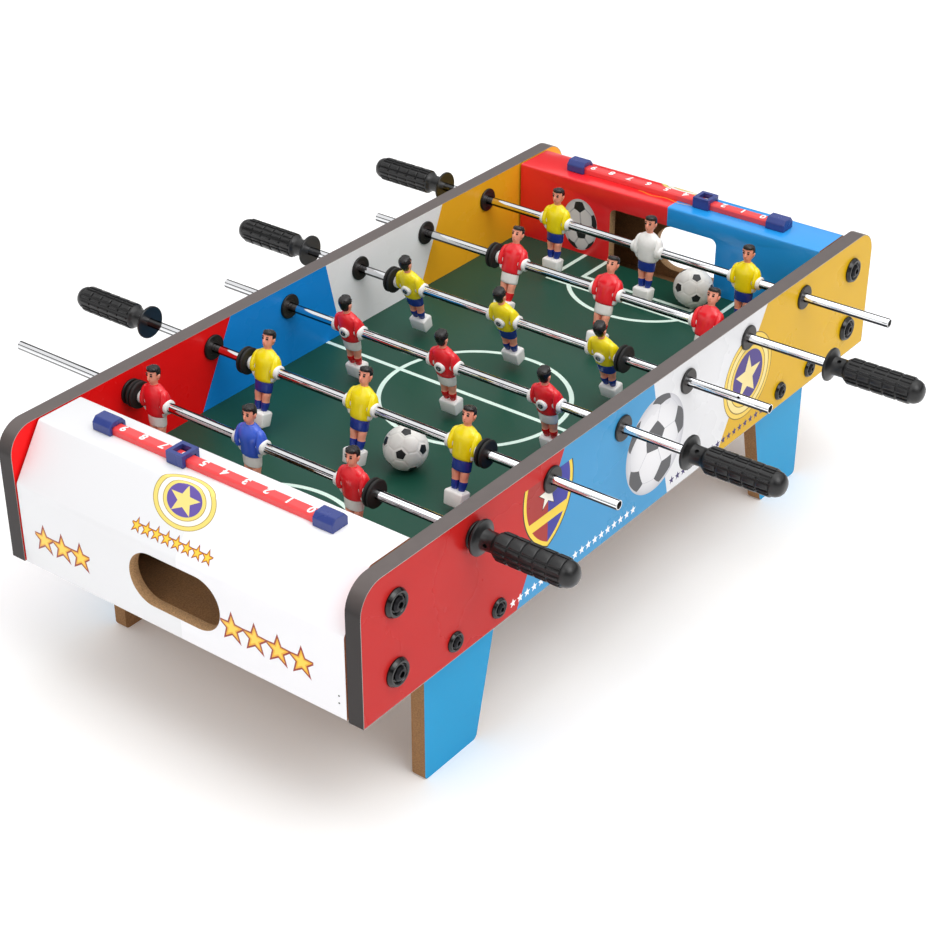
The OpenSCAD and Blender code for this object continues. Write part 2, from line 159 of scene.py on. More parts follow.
@dataclass
class Sheet:
    """A flat printing plane in a material's node tree, in millimetres.

    Attributes:
        tree: The material's node tree.
        uv: A vector socket that holds the place on the sheet as (u, v, 0).
        colour: The colour printed so far.
    """

    tree: bpy.types.NodeTree
    uv: Socket
    colour: Socket

    def reckon(self, start: Socket | float, *steps: tuple) -> Socket:
        """Works a number through a chain of steps.

        Args:
            start: The number to start from.
            *steps: Each step's operation, and what it takes besides the number so far.

        Returns:
            What the last step gives.
        """
        number = start
        for operation, *others in steps:
            inputs = dict(enumerate([number, *others]))
            number = add_node(self.tree, "ShaderNodeMath", inputs, operation=operation).outputs[0]
        return number

    def paint(self, mask: Socket, code: str) -> None:
        """Prints one ink where the mask is 1."""
        inputs = {0: mask, 6: self.colour, 7: linear(code)}
        mixed = add_node(self.tree, "ShaderNodeMix", inputs, data_type="RGBA")
        self.colour = mixed.outputs[2]

    def nest(self, value: Socket, inks: Sequence[tuple[float, str]], *masks: Socket) -> None:
        """Prints shapes one inside another.

        Args:
            value: A number that is below r inside the shape of size r.
            inks: Each shape's size and ink, from the largest.
            *masks: Where the shapes may print.
        """
        for size, ink in inks:
            inside = self.reckon(value, ("LESS_THAN", size))
            self.paint(self.both(inside, *masks), ink)

    def moved(self, centre: Point, stretch: Point = (1, 1)) -> Socket:
        """Gives the place counted from a centre, each way divided by its stretch."""
        scale = (1 / stretch[0], 1 / stretch[1], 0)
        place = (-centre[0] / stretch[0], -centre[1] / stretch[1], 0)
        inputs = {"Vector": self.uv, "Scale": scale, "Location": place}
        return add_node(self.tree, "ShaderNodeMapping", inputs).outputs[0]

    def reach(self, place: Socket) -> Socket:
        """Gives how far a place lies from zero."""
        made = add_node(self.tree, "ShaderNodeVectorMath", {0: place}, operation="LENGTH")
        return made.outputs["Value"]

    def distance(self, centre: Point, stretch: Point = (1, 1)) -> Socket:
        """Gives the distance from a centre, each way divided by its stretch."""
        return self.reach(self.moved(centre, stretch))

    def along(self, place: Socket, axis: Vector) -> Socket:
        """Gives how far a place reaches along an axis."""
        inputs = {0: place, 1: tuple(axis)}
        made = add_node(self.tree, "ShaderNodeVectorMath", inputs, operation="DOT_PRODUCT")
        return made.outputs["Value"]

    def beyond(self, one: Point, two: Point) -> Socket:
        """Masks the side of a line that lies to its right, going from one to two."""
        way = Vector((two[0] - one[0], two[1] - one[1]))
        across = Vector((way.y, -way.x, 0)).normalized()
        limit = across.x * one[0] + across.y * one[1]
        return self.reckon(self.along(self.uv, across), ("GREATER_THAN", limit))

    def both(self, first: Socket, *others: Socket) -> Socket:
        """Masks what all the given masks hold."""
        return self.reckon(first, *(("MINIMUM", mask) for mask in others))

    def patch(self, u: Point, v: Point) -> Socket:
        """Masks a rectangle from u[0] to u[1] and from v[0] to v[1]."""
        parts = add_node(self.tree, "ShaderNodeSeparateXYZ", {0: self.uv}).outputs
        wide = self.reckon(parts[0], ("COMPARE", (u[0] + u[1]) / 2, (u[1] - u[0]) / 2))
        tall = self.reckon(parts[1], ("COMPARE", (v[0] + v[1]) / 2, (v[1] - v[0]) / 2))
        return self.both(wide, tall)

    def star(self, place: Socket, points: int = 5, waist: float = 0.42) -> Socket:
        """Gives a value that is below r inside a star with tips r from the place's zero."""
        parts = add_node(self.tree, "ShaderNodeSeparateXYZ", {0: place}).outputs
        step = math.pi / points
        folded = self.reckon(parts[0], ("ARCTAN2", parts[1]), ("PINGPONG", step))
        dent = Vector((waist * math.cos(step), waist * math.sin(step)))
        side = (dent - Vector((1.0, 0.0))).normalized()
        lean = math.atan2(-side.x, side.y)
        bent = self.reckon(folded, ("SUBTRACT", lean), ("COSINE",))
        return self.reckon(self.reach(place), ("MULTIPLY", bent), ("DIVIDE", math.cos(lean)))

    def star_row(self, start: Point, pitch: float, count: int) -> tuple[Socket, Socket]:
        """Draws stars side by side.

        Args:
            start: The first star's centre.
            pitch: The distance between stars.
            count: How many there are.

        Returns:
            The star value, as in star, and a mask of the row's own stretch.
        """
        parts = add_node(self.tree, "ShaderNodeSeparateXYZ", {0: self.uv}).outputs
        from_start = self.reckon(parts[0], ("SUBTRACT", start[0]))
        wrapped = self.reckon(from_start, ("WRAP", pitch / 2, -pitch / 2))
        up = self.reckon(parts[1], ("SUBTRACT", start[1]))
        place = add_node(self.tree, "ShaderNodeCombineXYZ", {0: wrapped, 1: up}).outputs[0]
        middle = pitch * (count - 1) / 2
        stretch = self.reckon(from_start, ("COMPARE", middle, pitch * count / 2))
        return self.star(place), stretch

    def football(
        self,
        centre: Point,
        radius: Point,
        pole: tuple[float, float, float],
        turn: float,
        inks: tuple[str, str, str],
        seam_width: float = 0.012,
    ) -> None:
        """Prints a football with pentagon patches, seams and a soft rim shade.

        Args:
            centre: The ball's middle.
            radius: Its radius along u and along v.
            pole: The way one pentagon faces, the third number towards the eye.
            turn: The angle in degrees of the patches about that pole.
            inks: The colours of the panels, of their shaded rim and of the patches.
            seam_width: How broad the seams are, as a share of the radius.
        """
        place = self.moved(centre, radius)
        reach = self.reach(place)
        disc = self.reckon(reach, ("LESS_THAN", 1.0))
        square = self.reckon(reach, ("MULTIPLY", reach))
        depth = self.reckon(1.0, ("SUBTRACT", square), ("MAXIMUM", 0.0), ("SQRT",))
        flat = add_node(self.tree, "ShaderNodeSeparateXYZ", {0: place}).outputs
        inputs = {0: flat[0], 1: flat[1], 2: depth}
        ball = add_node(self.tree, "ShaderNodeCombineXYZ", inputs).outputs[0]
        pents, hexes = football_axes(Vector(pole), turn)
        best_pent = self.facing(ball, pents, PENTAGON_FAR)[0]
        best_hex, next_hex = self.facing(ball, hexes, HEXAGON_FAR)
        patch = self.reckon(best_pent, ("GREATER_THAN", best_hex))
        seam = self.reckon(best_hex, ("SUBTRACT", next_hex), ("LESS_THAN", seam_width))
        shade = self.reckon(reach, ("POWER", 5.0), ("MULTIPLY", 0.9))
        self.paint(disc, inks[0])
        self.paint(self.both(disc, shade), inks[1])
        self.paint(self.both(disc, seam), inks[1])
        self.paint(self.both(disc, patch), inks[2])

    def facing(
        self, ball: Socket, axes: Sequence[Vector], far: float
    ) -> tuple[Socket, Socket | float]:
        """Gives the two greatest shares of a direction along the axes, divided by far."""
        sizes = [self.reckon(self.along(ball, axis / far), ("ABSOLUTE",)) for axis in axes]
        best: Socket = sizes[0]
        second: Socket | float = 0.0
        for size in sizes[1:]:
            second = self.reckon(best, ("MINIMUM", size), ("MAXIMUM", second))
            best = self.reckon(best, ("MAXIMUM", size))
        return best, second


def football_axes(pole: Vector, turn: float) -> tuple[list[Vector], list[Vector]]:
    """Gives the pentagon and the hexagon axes of a football.

    Args:
        pole: The way one pentagon faces.
        turn: The angle in degrees of the rest about that pole.

    Returns:
        Six pentagon axes and ten hexagon axes, one for each opposite pair.
    """
    golden = (1 + math.sqrt(5)) / 2
    corners = []
    for a in (-1, 1):
        for b in (-golden, golden):
            corners += [Vector((0, a, b)), Vector((a, b, 0)), Vector((b, 0, a))]
    # Neighbouring corners lie 2 apart, and the next ones more than 3.
    edge = 2.01
    hexes = []
    for i, p in enumerate(corners):
        for j in range(i + 1, len(corners)):
            for k in range(j + 1, len(corners)):
                q, r = corners[j], corners[k]
                near = max((p - q).length, (q - r).length, (p - r).length)
                if near < edge:
                    hexes.append((p + q + r).normalized())
    pents = [p.normalized() for p in corners]
    turned = pents[0].rotation_difference(pole.normalized()).to_matrix()
    spin = Matrix.Rotation(math.radians(turn), 3, pole.normalized()) @ turned
    # No axis is square to this direction, so it takes one of each opposite pair.
    one_side = Vector((0.3127, 0.5213, 0.794))
    return (
        [spin @ p for p in pents if p.dot(one_side) > 0],
        [spin @ h for h in hexes if h.dot(one_side) > 0],
    )


# ---------------------------------------------------------------- finishes


@dataclass(frozen=True)
class Finish:
    """A surface: what it is made of and what that gives the eye.

    Attributes:
        name: The material's name, after the real one and how it was made.
        colour: Its base colour.
        roughness: How matt it is.
        grain: The size of its finest texture.
        depth: The height of that texture.
        mottle: How far its colour drifts, from 0 to 1.
        drift: The size of the drifting patches.
        metallic: 1 for bare metal.
        coat: The weight of a clear layer on top.
        shine: How strongly a clear surface mirrors; 0.5 is plain plastic.
    """

    name: str
    colour: str
    roughness: float = 0.4
    grain: float = 0.5
    depth: float = 0.01
    mottle: float = 0.06
    drift: float = 14.0
    metallic: float = 0.0
    coat: float = 0.0
    shine: float = 0.5

    @staticmethod
    def place(tree: bpy.types.NodeTree) -> Socket:
        """Gives the place on the object in millimetres, from the middle of the case."""
        where = add_node(tree, "ShaderNodeTexCoord").outputs["Object"]
        inputs = {"Vector": where, "Scale": (1000, 1000, 1000), "Location": (0, -CASE_Y, 0)}
        return add_node(tree, "ShaderNodeMapping", inputs).outputs[0]

    @staticmethod
    def upward(tree: bpy.types.NodeTree) -> Socket:
        """Gives how far the surface faces up, from -1 to 1."""
        facing = add_node(tree, "ShaderNodeTexCoord").outputs["Normal"]
        return add_node(tree, "ShaderNodeSeparateXYZ", {0: facing}).outputs[2]

    @staticmethod
    def plain(tree: bpy.types.NodeTree, code: str) -> Socket:
        """Gives one even colour to start a print from."""
        made = add_node(tree, "ShaderNodeRGB")
        made.outputs[0].default_value = linear(code)
        return made.outputs[0]

    def cover(self, tree: bpy.types.NodeTree, where: Socket) -> Socket:
        """Gives the colour before wear: one plain colour here."""
        return self.plain(tree, self.colour)

    def relief(self, tree: bpy.types.NodeTree, where: Socket) -> Socket:
        """Gives the height of the fine texture, from 0 to 1."""
        inputs = {"Vector": where, "Scale": 1 / self.grain, "Detail": 3.0}
        return add_node(tree, "ShaderNodeTexNoise", inputs).outputs["Fac"]

    def build(self) -> bpy.types.Material:
        """Makes the material once and gives the same one after that."""
        found = bpy.data.materials.get(self.name)
        if found is not None:
            return found
        made = bpy.data.materials.new(self.name)
        made.use_nodes = True
        tree = made.node_tree
        tree.nodes.clear()
        where = self.place(tree)
        inputs = {"Vector": where, "Scale": 1 / self.drift, "Detail": 4.0}
        patches = add_node(tree, "ShaderNodeTexNoise", inputs).outputs["Fac"]
        inputs = {0: patches, 3: 1 - 2 * self.mottle, 4: 1 + 2 * self.mottle}
        drift = add_node(tree, "ShaderNodeMapRange", inputs).outputs[0]
        inputs = {0: patches, 3: self.roughness * 0.8, 4: self.roughness * 1.2}
        rough = add_node(tree, "ShaderNodeMapRange", inputs).outputs[0]
        inputs = {"Color": self.cover(tree, where), "Value": drift}
        hue = add_node(tree, "ShaderNodeHueSaturation", inputs)
        height = self.relief(tree, where)
        inputs = {"Height": height, "Strength": 1.0, "Distance": self.depth * MM}
        bump = add_node(tree, "ShaderNodeBump", inputs)
        surface = add_node(
            tree,
            "ShaderNodeBsdfPrincipled",
            {
                "Base Color": hue.outputs[0],
                "Roughness": rough,
                "Metallic": self.metallic,
                "Specular IOR Level": self.shine,
                "Coat Weight": self.coat,
                "Coat Roughness": 0.12,
                "Normal": bump.outputs[0],
            },
        )
        add_node(tree, "ShaderNodeOutputMaterial", {"Surface": surface.outputs[0]})
        return made


# Injection-moulded polyamide, nearly black, with a fine spark-eroded grain that softens glints.
MOULDED_NYLON = Finish("moulded_black_nylon", "#0F0F10", 0.36, 0.35, 0.02, 0.15)
# The same plastic where a brown release film dulls it round the rod.
NYLON_HUB = Finish("moulded_brown_nylon_hub", "#241D1B", 0.45, 0.35, 0.02, 0.2, 4.0)
# Grip plastic: softer and greyer than the bushings, satin on its raised tiles.
GRIP_POLYPROPYLENE = Finish("moulded_grip_polypropylene", "#131314", 0.33, 0.3, 0.015, 0.12, 6.0)
# Nitrile rubber: matt with a dusty bloom.
MOULDED_RUBBER = Finish("moulded_nitrile_rubber", "#161514", 0.55, 0.4, 0.03, 0.25, 5.0)
# Black oxide on steel: dark, half glossy, with soft glints on its edges.
BLACK_OXIDE_STEEL = Finish("black_oxide_steel", "#232326", 0.3, 0.3, 0.01, 0.15, 3.0, 0.85)
# Gloss polystyrene of the screw cups: black, with sharp glints round the rim.
GLOSS_POLYSTYRENE = Finish("moulded_gloss_black_polystyrene", "#101011", 0.2, 0.8, 0.01, 0.1)
# The tube's bore: unplated steel, dark and dull.
BARE_STEEL_BORE = Finish("bare_steel_bore", "#3B3835", 0.6, 0.5, 0.01, 0.2, 4.0, 0.6)
# Zinc on small screws: a dark, slightly hazed grey in the white boss.
ZINC_PLATE = Finish("bright_zinc_plate", "#85878C", 0.25, 0.4, 0.008, 0.1, 2.0, 1.0)
# Red rail and blue counters: high-gloss polystyrene with a slight sink ripple.
RAIL_POLYSTYRENE = Finish("moulded_red_polystyrene", "#F0484A", 0.22, 5.0, 0.02, 0.03, 20)
COUNTER_POLYSTYRENE = Finish("moulded_blue_polystyrene", "#303F83", 0.26, 4.0, 0.02, 0.04, 12)
# White pad-printing ink for the numbers: flat white with a soft edge of gloss.
NUMBER_INK = Finish("pad_printed_white_ink", "#F6F3F2", 0.35, 0.4, 0.004, 0.03)
# Unpainted polyethylene of a player: milky, waxy.
PLAYER_WHITE = Finish("moulded_white_polyethylene", "#F3F2EF", 0.3, 0.7, 0.012, 0.02, 5.0)
# Brush-painted acrylic on the players: even gloss with slight pooling.
FLESH_PAINT = Finish("acrylic_flesh_paint", "#F7A488", 0.3, 0.8, 0.012, 0.05, 3.0)
HAIR_PAINT = Finish("acrylic_black_hair_paint", "#120F0E", 0.22, 0.9, 0.22, 0.2, 2.0)
EYE_PAINT = Finish("acrylic_dark_eye_paint", "#1D1414", 0.25, 0.6, 0.006, 0.1, 2.0)
LIP_PAINT = Finish("acrylic_lip_paint", "#C25645", 0.3, 0.6, 0.006, 0.1, 2.0)
# White polystyrene ball with a pebbled skin that spreads its glints, and its black panels.
BALL_WHITE = Finish("pebbled_white_polystyrene", "#E9E7E2", 0.42, 0.55, 0.05, 0.05, 6.0)
BALL_BLACK = Finish("printed_black_panel_ink", "#17181A", 0.4, 0.55, 0.05, 0.1, 4.0)
# The trimmed sides of the edge band: a dry, paler line along the panel.
EDGE_BAND_CUT = Finish("trimmed_edge_band_cut", "#A89F9A", 0.55, 0.6, 0.01, 0.05, 5.0)
# Sky blue melamine foil on the legs: smooth and satin.
LEG_FOIL = Finish("sky_blue_melamine_foil", "#1B9BD0", 0.35, 1.2, 0.001, 0.006, 60.0, shine=0.14)


@dataclass(frozen=True)
class BandFinish(Finish):
    """Melamine band, with a paler sheen painted along the top where it faces up.

    Attributes:
        rubbed: The colour along the top, a painted sheen.
    """

    rubbed: str = "#625A58"

    def cover(self, tree: bpy.types.NodeTree, where: Socket) -> Socket:
        """Gives the dark band, painted paler as a sheen where it faces up."""
        # Painted sheen: the band's colour turns paler the further its face turns up.
        inputs = {0: self.upward(tree), 1: 0.15, 2: 0.8}
        share = add_node(tree, "ShaderNodeMapRange", inputs).outputs[0]
        inputs = {0: share, 6: linear(self.colour), 7: linear(self.rubbed)}
        return add_node(tree, "ShaderNodeMix", inputs, data_type="RGBA").outputs[2]


# Melamine edge band: dark brown on the ends, with a warm grey sheen painted along the top.
EDGE_BAND = BandFinish("melamine_edge_band", "#241D1C", 0.34, 0.8, 0.006, 0.06, 9.0, shine=0.3)


@dataclass(frozen=True)
class PlatedTube(Finish):
    """Chromium on drawn tube, with painted dark reflections along its top and its underside.

    Attributes:
        dull: The colour of both painted dark reflections.
    """

    dull: str = "#26262A"

    def cover(self, tree: bpy.types.NodeTree, where: Socket) -> Socket:
        """Gives bright plate, painted dark along a thin line on top and on the underside as
        reflections.
        """
        up = self.upward(tree)
        # Painted reflection: the plate turns dark where it faces down and along a thin line where
        # it faces almost straight up, standing in for the dark table and room that a mirror would
        # show.
        below = add_node(tree, "ShaderNodeMapRange", {0: up, 1: -0.01, 2: -0.12}).outputs[0]
        crown = add_node(tree, "ShaderNodeMapRange", {0: up, 1: 0.962, 2: 0.975}).outputs[0]
        inputs = {0: below, 1: crown}
        share = add_node(tree, "ShaderNodeMath", inputs, operation="MAXIMUM").outputs[0]
        inputs = {0: share, 6: linear(self.colour), 7: linear(self.dull)}
        return add_node(tree, "ShaderNodeMix", inputs, data_type="RGBA").outputs[2]


# Bright nickel and chromium on drawn tube: a clean mirror with the faintest draw lines.
CHROMIUM_PLATE = PlatedTube("bright_chromium_plate", "#EDEEF0", 0.05, 2.0, 0.001, 0.02, 30, 1.0)


@dataclass(frozen=True)
class FibreFinish(Finish):
    """Raw fibreboard: felted wood fibre, matt, with pale and dark flecks.

    Attributes:
        fibre: The size of a fleck, drawn coarser than a real fibre so that it shows.
    """

    fibre: float = 1.2

    def cover(self, tree: bpy.types.NodeTree, where: Socket) -> Socket:
        """Gives brown fibre with darker and paler flecks."""
        inputs = {"Vector": where, "Scale": 1 / self.fibre, "Detail": 6.0, "Roughness": 0.7}
        flecks = add_node(tree, "ShaderNodeTexNoise", inputs).outputs["Fac"]
        share = add_node(tree, "ShaderNodeMapRange", {0: flecks, 1: 0.32, 2: 0.7}).outputs[0]
        dark = tuple(c * 0.62 for c in linear(self.colour)[:3]) + (1.0,)
        pale = tuple(min(1.0, c * 1.3) for c in linear(self.colour)[:3]) + (1.0,)
        inputs = {0: share, 6: dark, 7: pale}
        return add_node(tree, "ShaderNodeMix", inputs, data_type="RGBA").outputs[2]


# Sawn medium density fibreboard, as it shows in the goals, the legs' edges and the returns.
RAW_FIBREBOARD = FibreFinish("sawn_fibreboard", "#9A7148", 0.85, 0.6, 0.12, 0.08, 10.0)
# The same board milled by a router, paler where the fibre is cut clean.
MILLED_FIBREBOARD = FibreFinish("milled_fibreboard_edge", "#BC9468", 0.8, 0.5, 0.08, 0.06, 8.0)


class Zone(Enum):
    """The coloured fields that the side panels are printed in."""

    RED = 0
    BLUE = 1
    WHITE = 2
    YELLOW = 3


@dataclass(frozen=True)
class PanelPrint(Finish):
    """Printed melamine foil on a side panel: four slanting fields, badges and star rows.

    Attributes:
        outer: The fields' inks on the outer face, in the order of their zones.
        inner: The same on the inner face, brighter as painted light against the shade inside the
            case.
        outer_lines: Where every field but the red one begins on the outer face.
        inner_lines: The same on the inner face.
    """

    outer: tuple[str, ...] = ("#C12523", "#4297CA", "#E2E2E4", "#DAAB05")
    # The inner inks are brighter than the outer ones: painted light that makes up for the shade
    # inside the case.
    inner: tuple[str, ...] = ("#F51618", "#178EE4", "#FCFCFD", "#FFBA26")
    outer_lines: tuple[tuple[Point, Point], ...] = (
        ((-175, 103), (-120, 212)),
        ((24, 104), (-4, 213)),
        ((101.5, 109), (165, 215)),
    )
    inner_lines: tuple[tuple[Point, Point], ...] = (
        ((-152, 141), (-115, 210)),
        ((18, 144), (2, 212)),
        ((138, 166), (159, 212)),
    )

    def cover(self, tree: bpy.types.NodeTree, where: Socket) -> Socket:
        """Prints the fields on both faces and the rest on the outer face."""
        parts = add_node(tree, "ShaderNodeSeparateXYZ", {0: where}).outputs
        uv = add_node(tree, "ShaderNodeCombineXYZ", {0: parts[0], 1: parts[2]}).outputs[0]
        face = Sheet(tree, uv, self.plain(tree, self.outer[Zone.RED.value]))
        self.fields(face, self.outer, self.outer_lines)
        greys = ("#E9E8EA", "#B9B9C0", "#58585B")
        face.football((2.8, 157.4), (40.5, 41), (-0.04, 0.18, 1), 36, greys, 0.002)
        self.shield(face)
        self.medal(face)
        self.star_rows(face)
        inside = Sheet(tree, uv, self.plain(tree, self.inner[Zone.RED.value]))
        self.fields(inside, self.inner, self.inner_lines)
        out = face.reckon(parts[1], ("ABSOLUTE",), ("GREATER_THAN", PANEL_OUT - 1.0))
        inputs = {0: out, 6: inside.colour, 7: face.colour}
        return add_node(tree, "ShaderNodeMix", inputs, data_type="RGBA").outputs[2]

    @staticmethod
    def fields(
        sheet: Sheet, inks: Sequence[str], lines: Sequence[tuple[Point, Point]]
    ) -> None:
        """Prints every field but the red one, each from its own line on."""
        for zone, line in zip((Zone.BLUE, Zone.WHITE, Zone.YELLOW), lines):
            sheet.paint(sheet.beyond(*line), inks[zone.value])

    @staticmethod
    def shield(face: Sheet) -> None:
        """Prints a pointed shield with two halves, a band across and a star."""
        right = face.distance((-117, 186))
        arcs = face.reckon(face.distance((-160, 186)), ("MAXIMUM", right))
        under = face.beyond((-1e3, 199), (1e3, 199))
        face.nest(arcs, [(52.5, "#3A2A24"), (51.3, "#F3D24A"), (48.0, "#A8322E")], under)
        inner = face.both(under, face.reckon(arcs, ("LESS_THAN", 48.0)))
        face.paint(face.both(inner, face.patch((-138.5, -60), (0, 1e3))), "#3F3F9C")
        face.paint(face.both(inner, face.patch((-1e3, 1e3), (160, 168))), "#F3D24A")
        star = face.star(face.moved((-138.5, 183)))
        face.nest(star, [(13.0, "#3A2A24"), (11.4, "#F7F1E4")])

    @staticmethod
    def medal(face: Sheet) -> None:
        """Prints a round medal: rings with a star in the middle."""
        rings = [(37.5, "#8A6A22"), (36.6, "#F1CE58"), (33.0, "#8A6A22"), (32.0, "#F4DE93")]
        rings += [(27.0, "#8A6A22"), (26.2, "#F1CE58"), (23.0, "#4B3B86")]
        face.nest(face.distance((140, 157)), rings)
        face.nest(face.star(face.moved((140, 156))), [(20.0, "#F6E3A0")])

    @staticmethod
    def star_rows(face: Sheet) -> None:
        """Prints small stars along the lower edge, white and then purple."""
        for start, count, ink in ((-179.5, 19, "#FBFBFD"), (30.0, 17, "#3B2C66")):
            row, stretch = face.star_row((start, 112.2), 8.6, count)
            face.nest(row, [(3.9, ink)], stretch)


# Gravure-printed melamine foil: flat bright inks under a thin satin layer.
PANEL_FOIL = PanelPrint(
    "printed_melamine_foil", "#CC2C2A", 0.28, 1.2, 0.001, 0.004, 90.0, shine=0.14
)


@dataclass(frozen=True)
class PitchPrint(Finish):
    """Screen-printed field on fibreboard: dark green, satin, with off-white lines.

    Attributes:
        line: The ink of the lines.
        width: Half the width of a line.
        circle: The radius of the centre circle.
        arc: The radius of the arc before a goal.
        spot: Where that arc has its centre, from the middle line.
        areas: The front and the half-width of each box before a goal.
    """

    line: str = "#D9EFE4"
    width: float = 2.0
    circle: float = 78.0
    arc: float = 71.5
    spot: float = 257.0
    areas: tuple[Point, ...] = ((215.0, 80.0), (236.0, 56.0))

    def cover(self, tree: bpy.types.NodeTree, where: Socket) -> Socket:
        """Prints the lines, which are the same at both ends."""
        parts = add_node(tree, "ShaderNodeSeparateXYZ", {0: where}).outputs
        sheet = Sheet(tree, where, self.plain(tree, self.colour))
        along = sheet.reckon(parts[0], ("ABSOLUTE",))
        across = sheet.reckon(parts[1], ("ABSOLUTE",))
        sheet.uv = add_node(tree, "ShaderNodeCombineXYZ", {0: along, 1: across}).outputs[0]
        ring = sheet.reckon(sheet.distance((0, 0)), ("COMPARE", self.circle, self.width))
        arc = sheet.reckon(sheet.distance((self.spot, 0)), ("COMPARE", self.arc, self.width))
        outside = sheet.reckon(along, ("LESS_THAN", self.areas[0][0]))
        marks = [sheet.reckon(along, ("COMPARE", 0.0, self.width)), ring]
        marks.append(sheet.both(arc, outside))
        for front, side in self.areas:
            ahead = sheet.reckon(front, ("SUBTRACT", along))
            steps = (("SUBTRACT", side), ("MAXIMUM", ahead), ("COMPARE", 0.0, self.width))
            marks.append(sheet.reckon(across, *steps))
        top = sheet.reckon(parts[2], ("GREATER_THAN", PITCH_TOP - 0.5))
        for mark in marks:
            sheet.paint(sheet.both(mark, top), self.line)
        raw = sheet.reckon(parts[2], ("LESS_THAN", PITCH_TOP - 0.5))
        sheet.paint(raw, "#8E6A44")
        return sheet.colour


# Screen-printed playing field: even dark green with a low sheen.
PITCH_FOIL = PitchPrint("screen_printed_pitch", "#16493A", 0.4, 1.0, 0.002, 0.03, 90.0, shine=0.3)


@dataclass(frozen=True)
class EndBoxPrint(Finish):
    """Melamine foil folded round an end box, with a star badge and star rows.

    Attributes:
        side: -1 for the near box, 1 for the far one.
        second: The colour of the half towards the front.
        parting: Where the two halves meet, across the field.
    """

    side: int = -1
    second: str = "#F4F3F6"
    parting: float = -4.5

    def cover(self, tree: bpy.types.NodeTree, where: Socket) -> Socket:
        """Prints on the foil as it lay flat before it was folded."""
        parts = add_node(tree, "ShaderNodeSeparateXYZ", {0: where}).outputs
        sheet = Sheet(tree, where, self.plain(tree, self.colour))
        sheet.paint(sheet.reckon(parts[1], ("LESS_THAN", self.parting)), self.second)
        wall = Sheet(tree, where, sheet.colour)
        right = wall.reckon(parts[1], ("MULTIPLY", float(-self.side)))
        wall.uv = add_node(tree, "ShaderNodeCombineXYZ", {0: right, 1: parts[2]}).outputs[0]
        wall.football((-88, 170), (19, 25), (0.1, -0.28, 1), 30, ("#E9E8EA", "#BFBFC6", "#26262A"))
        if self.side > 0:
            self.wave(sheet, parts)
        out = sheet.reckon(parts[0], ("ABSOLUTE",), ("SUBTRACT", FOLD_X))
        slope = sheet.reckon(out, ("MAXIMUM", 0.0), ("MULTIPLY", SLOPE_STRETCH))
        drop = sheet.reckon(FOLD_Z, ("SUBTRACT", parts[2]), ("MAXIMUM", 0.0))
        steps = (("MINIMUM", 0.0), ("ADD", slope), ("ADD", drop), ("MULTIPLY", -1.0))
        up = sheet.reckon(out, *steps)
        left = sheet.reckon(parts[1], ("MULTIPLY", float(self.side)))
        sheet.uv = add_node(tree, "ShaderNodeCombineXYZ", {0: left, 1: up}).outputs[0]
        self.badge(sheet)
        off_wall = sheet.reckon(out, ("GREATER_THAN", -41.0))
        inputs = {0: off_wall, 6: wall.colour, 7: sheet.colour}
        return add_node(tree, "ShaderNodeMix", inputs, data_type="RGBA").outputs[2]

    @staticmethod
    def wave(sheet: Sheet, parts: Sequence[Socket]) -> None:
        """Prints a thin yellow wave beside the far counter."""
        swing = sheet.reckon(parts[1], ("DIVIDE", 4.5), ("SINE",), ("MULTIPLY", 1.3))
        across = sheet.reckon(parts[0], ("ABSOLUTE",), ("SUBTRACT", swing))
        line = sheet.reckon(across, ("COMPARE", 289.0, 0.45))
        stretch = sheet.reckon(parts[1], ("COMPARE", 6.0, 30.0))
        sheet.paint(sheet.both(line, stretch), "#E9B73A")

    def badge(self, sheet: Sheet) -> None:
        """Prints the badge on the slope and the star rows below it."""
        inks = [(28.6, "#A98B3C"), (28.0, "#F2DD7B"), (24.6, "#A98B3C"), (24.0, "#F8F5EC")]
        inks += [(19.6, "#A98B3C"), (19.0, "#F2DD7B"), (16.0, "#6C5AA8")]
        middle = 4.6 * self.side
        sheet.nest(sheet.distance((middle, -10.4), (1.0, 0.72)), inks)
        star = sheet.star(sheet.moved((middle, -10.8), (1.0, 0.78)))
        sheet.nest(star, [(14.5, "#F5E08A")])
        for start, pitch, count, size in (
            ((-37.0, -40.0), 9.6, 8, 6.4),
            ((-132.0, -89.5), 19.0, 3, 13.5),
            ((54.0, -86.5), 21.0, 4, 14.0),
        ):
            row, stretch = sheet.star_row(start, pitch, count)
            inks = [(size, "#96281A"), (size * 0.74, "#F2B22C"), (size * 0.5, "#F9D651")]
            sheet.nest(row, inks, stretch)


# White melamine foil of the near box: clean, faintly satin.
NEAR_BOX_FOIL = EndBoxPrint(
    "folded_white_foil", "#EBEBED", 0.3, 1.2, 0.001, 0.003, 90.0, shine=0.3
)
# Red and blue foil of the far box, under a clear gloss that greys it where it lies flat.
FAR_BOX_FOIL = EndBoxPrint(
    "folded_red_and_blue_foil",
    "#F6242A",
    0.3,
    1.2,
    0.001,
    0.004,
    90.0,
    coat=0.5,
    shine=0.4,
    side=1,
    second="#1F98E6",
)


class Kit(Enum):
    """What a team's players wear: shirt, shorts and socks."""

    RED = ("#EC1F2A", "#F4F1EC", "#DD1018")
    YELLOW = ("#FDE60C", "#1B3490", "#1B3490")
    RED_KEEPER = ("#3B62D6", "#F4F1EC", "#3457C0")
    YELLOW_KEEPER = ("#F6F5F2", "#1B3490", "#1B3490")


def kit_finishes(kit: Kit) -> list[Finish]:
    """Gives the brushed acrylic paints of one kit: shirt, shorts and socks."""
    names = ("shirt", "shorts", "socks")
    label = kit.name.lower()
    return [
        Finish(f"acrylic_{label}_{part}_paint", code, 0.24, 2.6, 0.09, 0.04, 3.5, coat=0.3)
        for part, code in zip(names, kit.value)
    ]


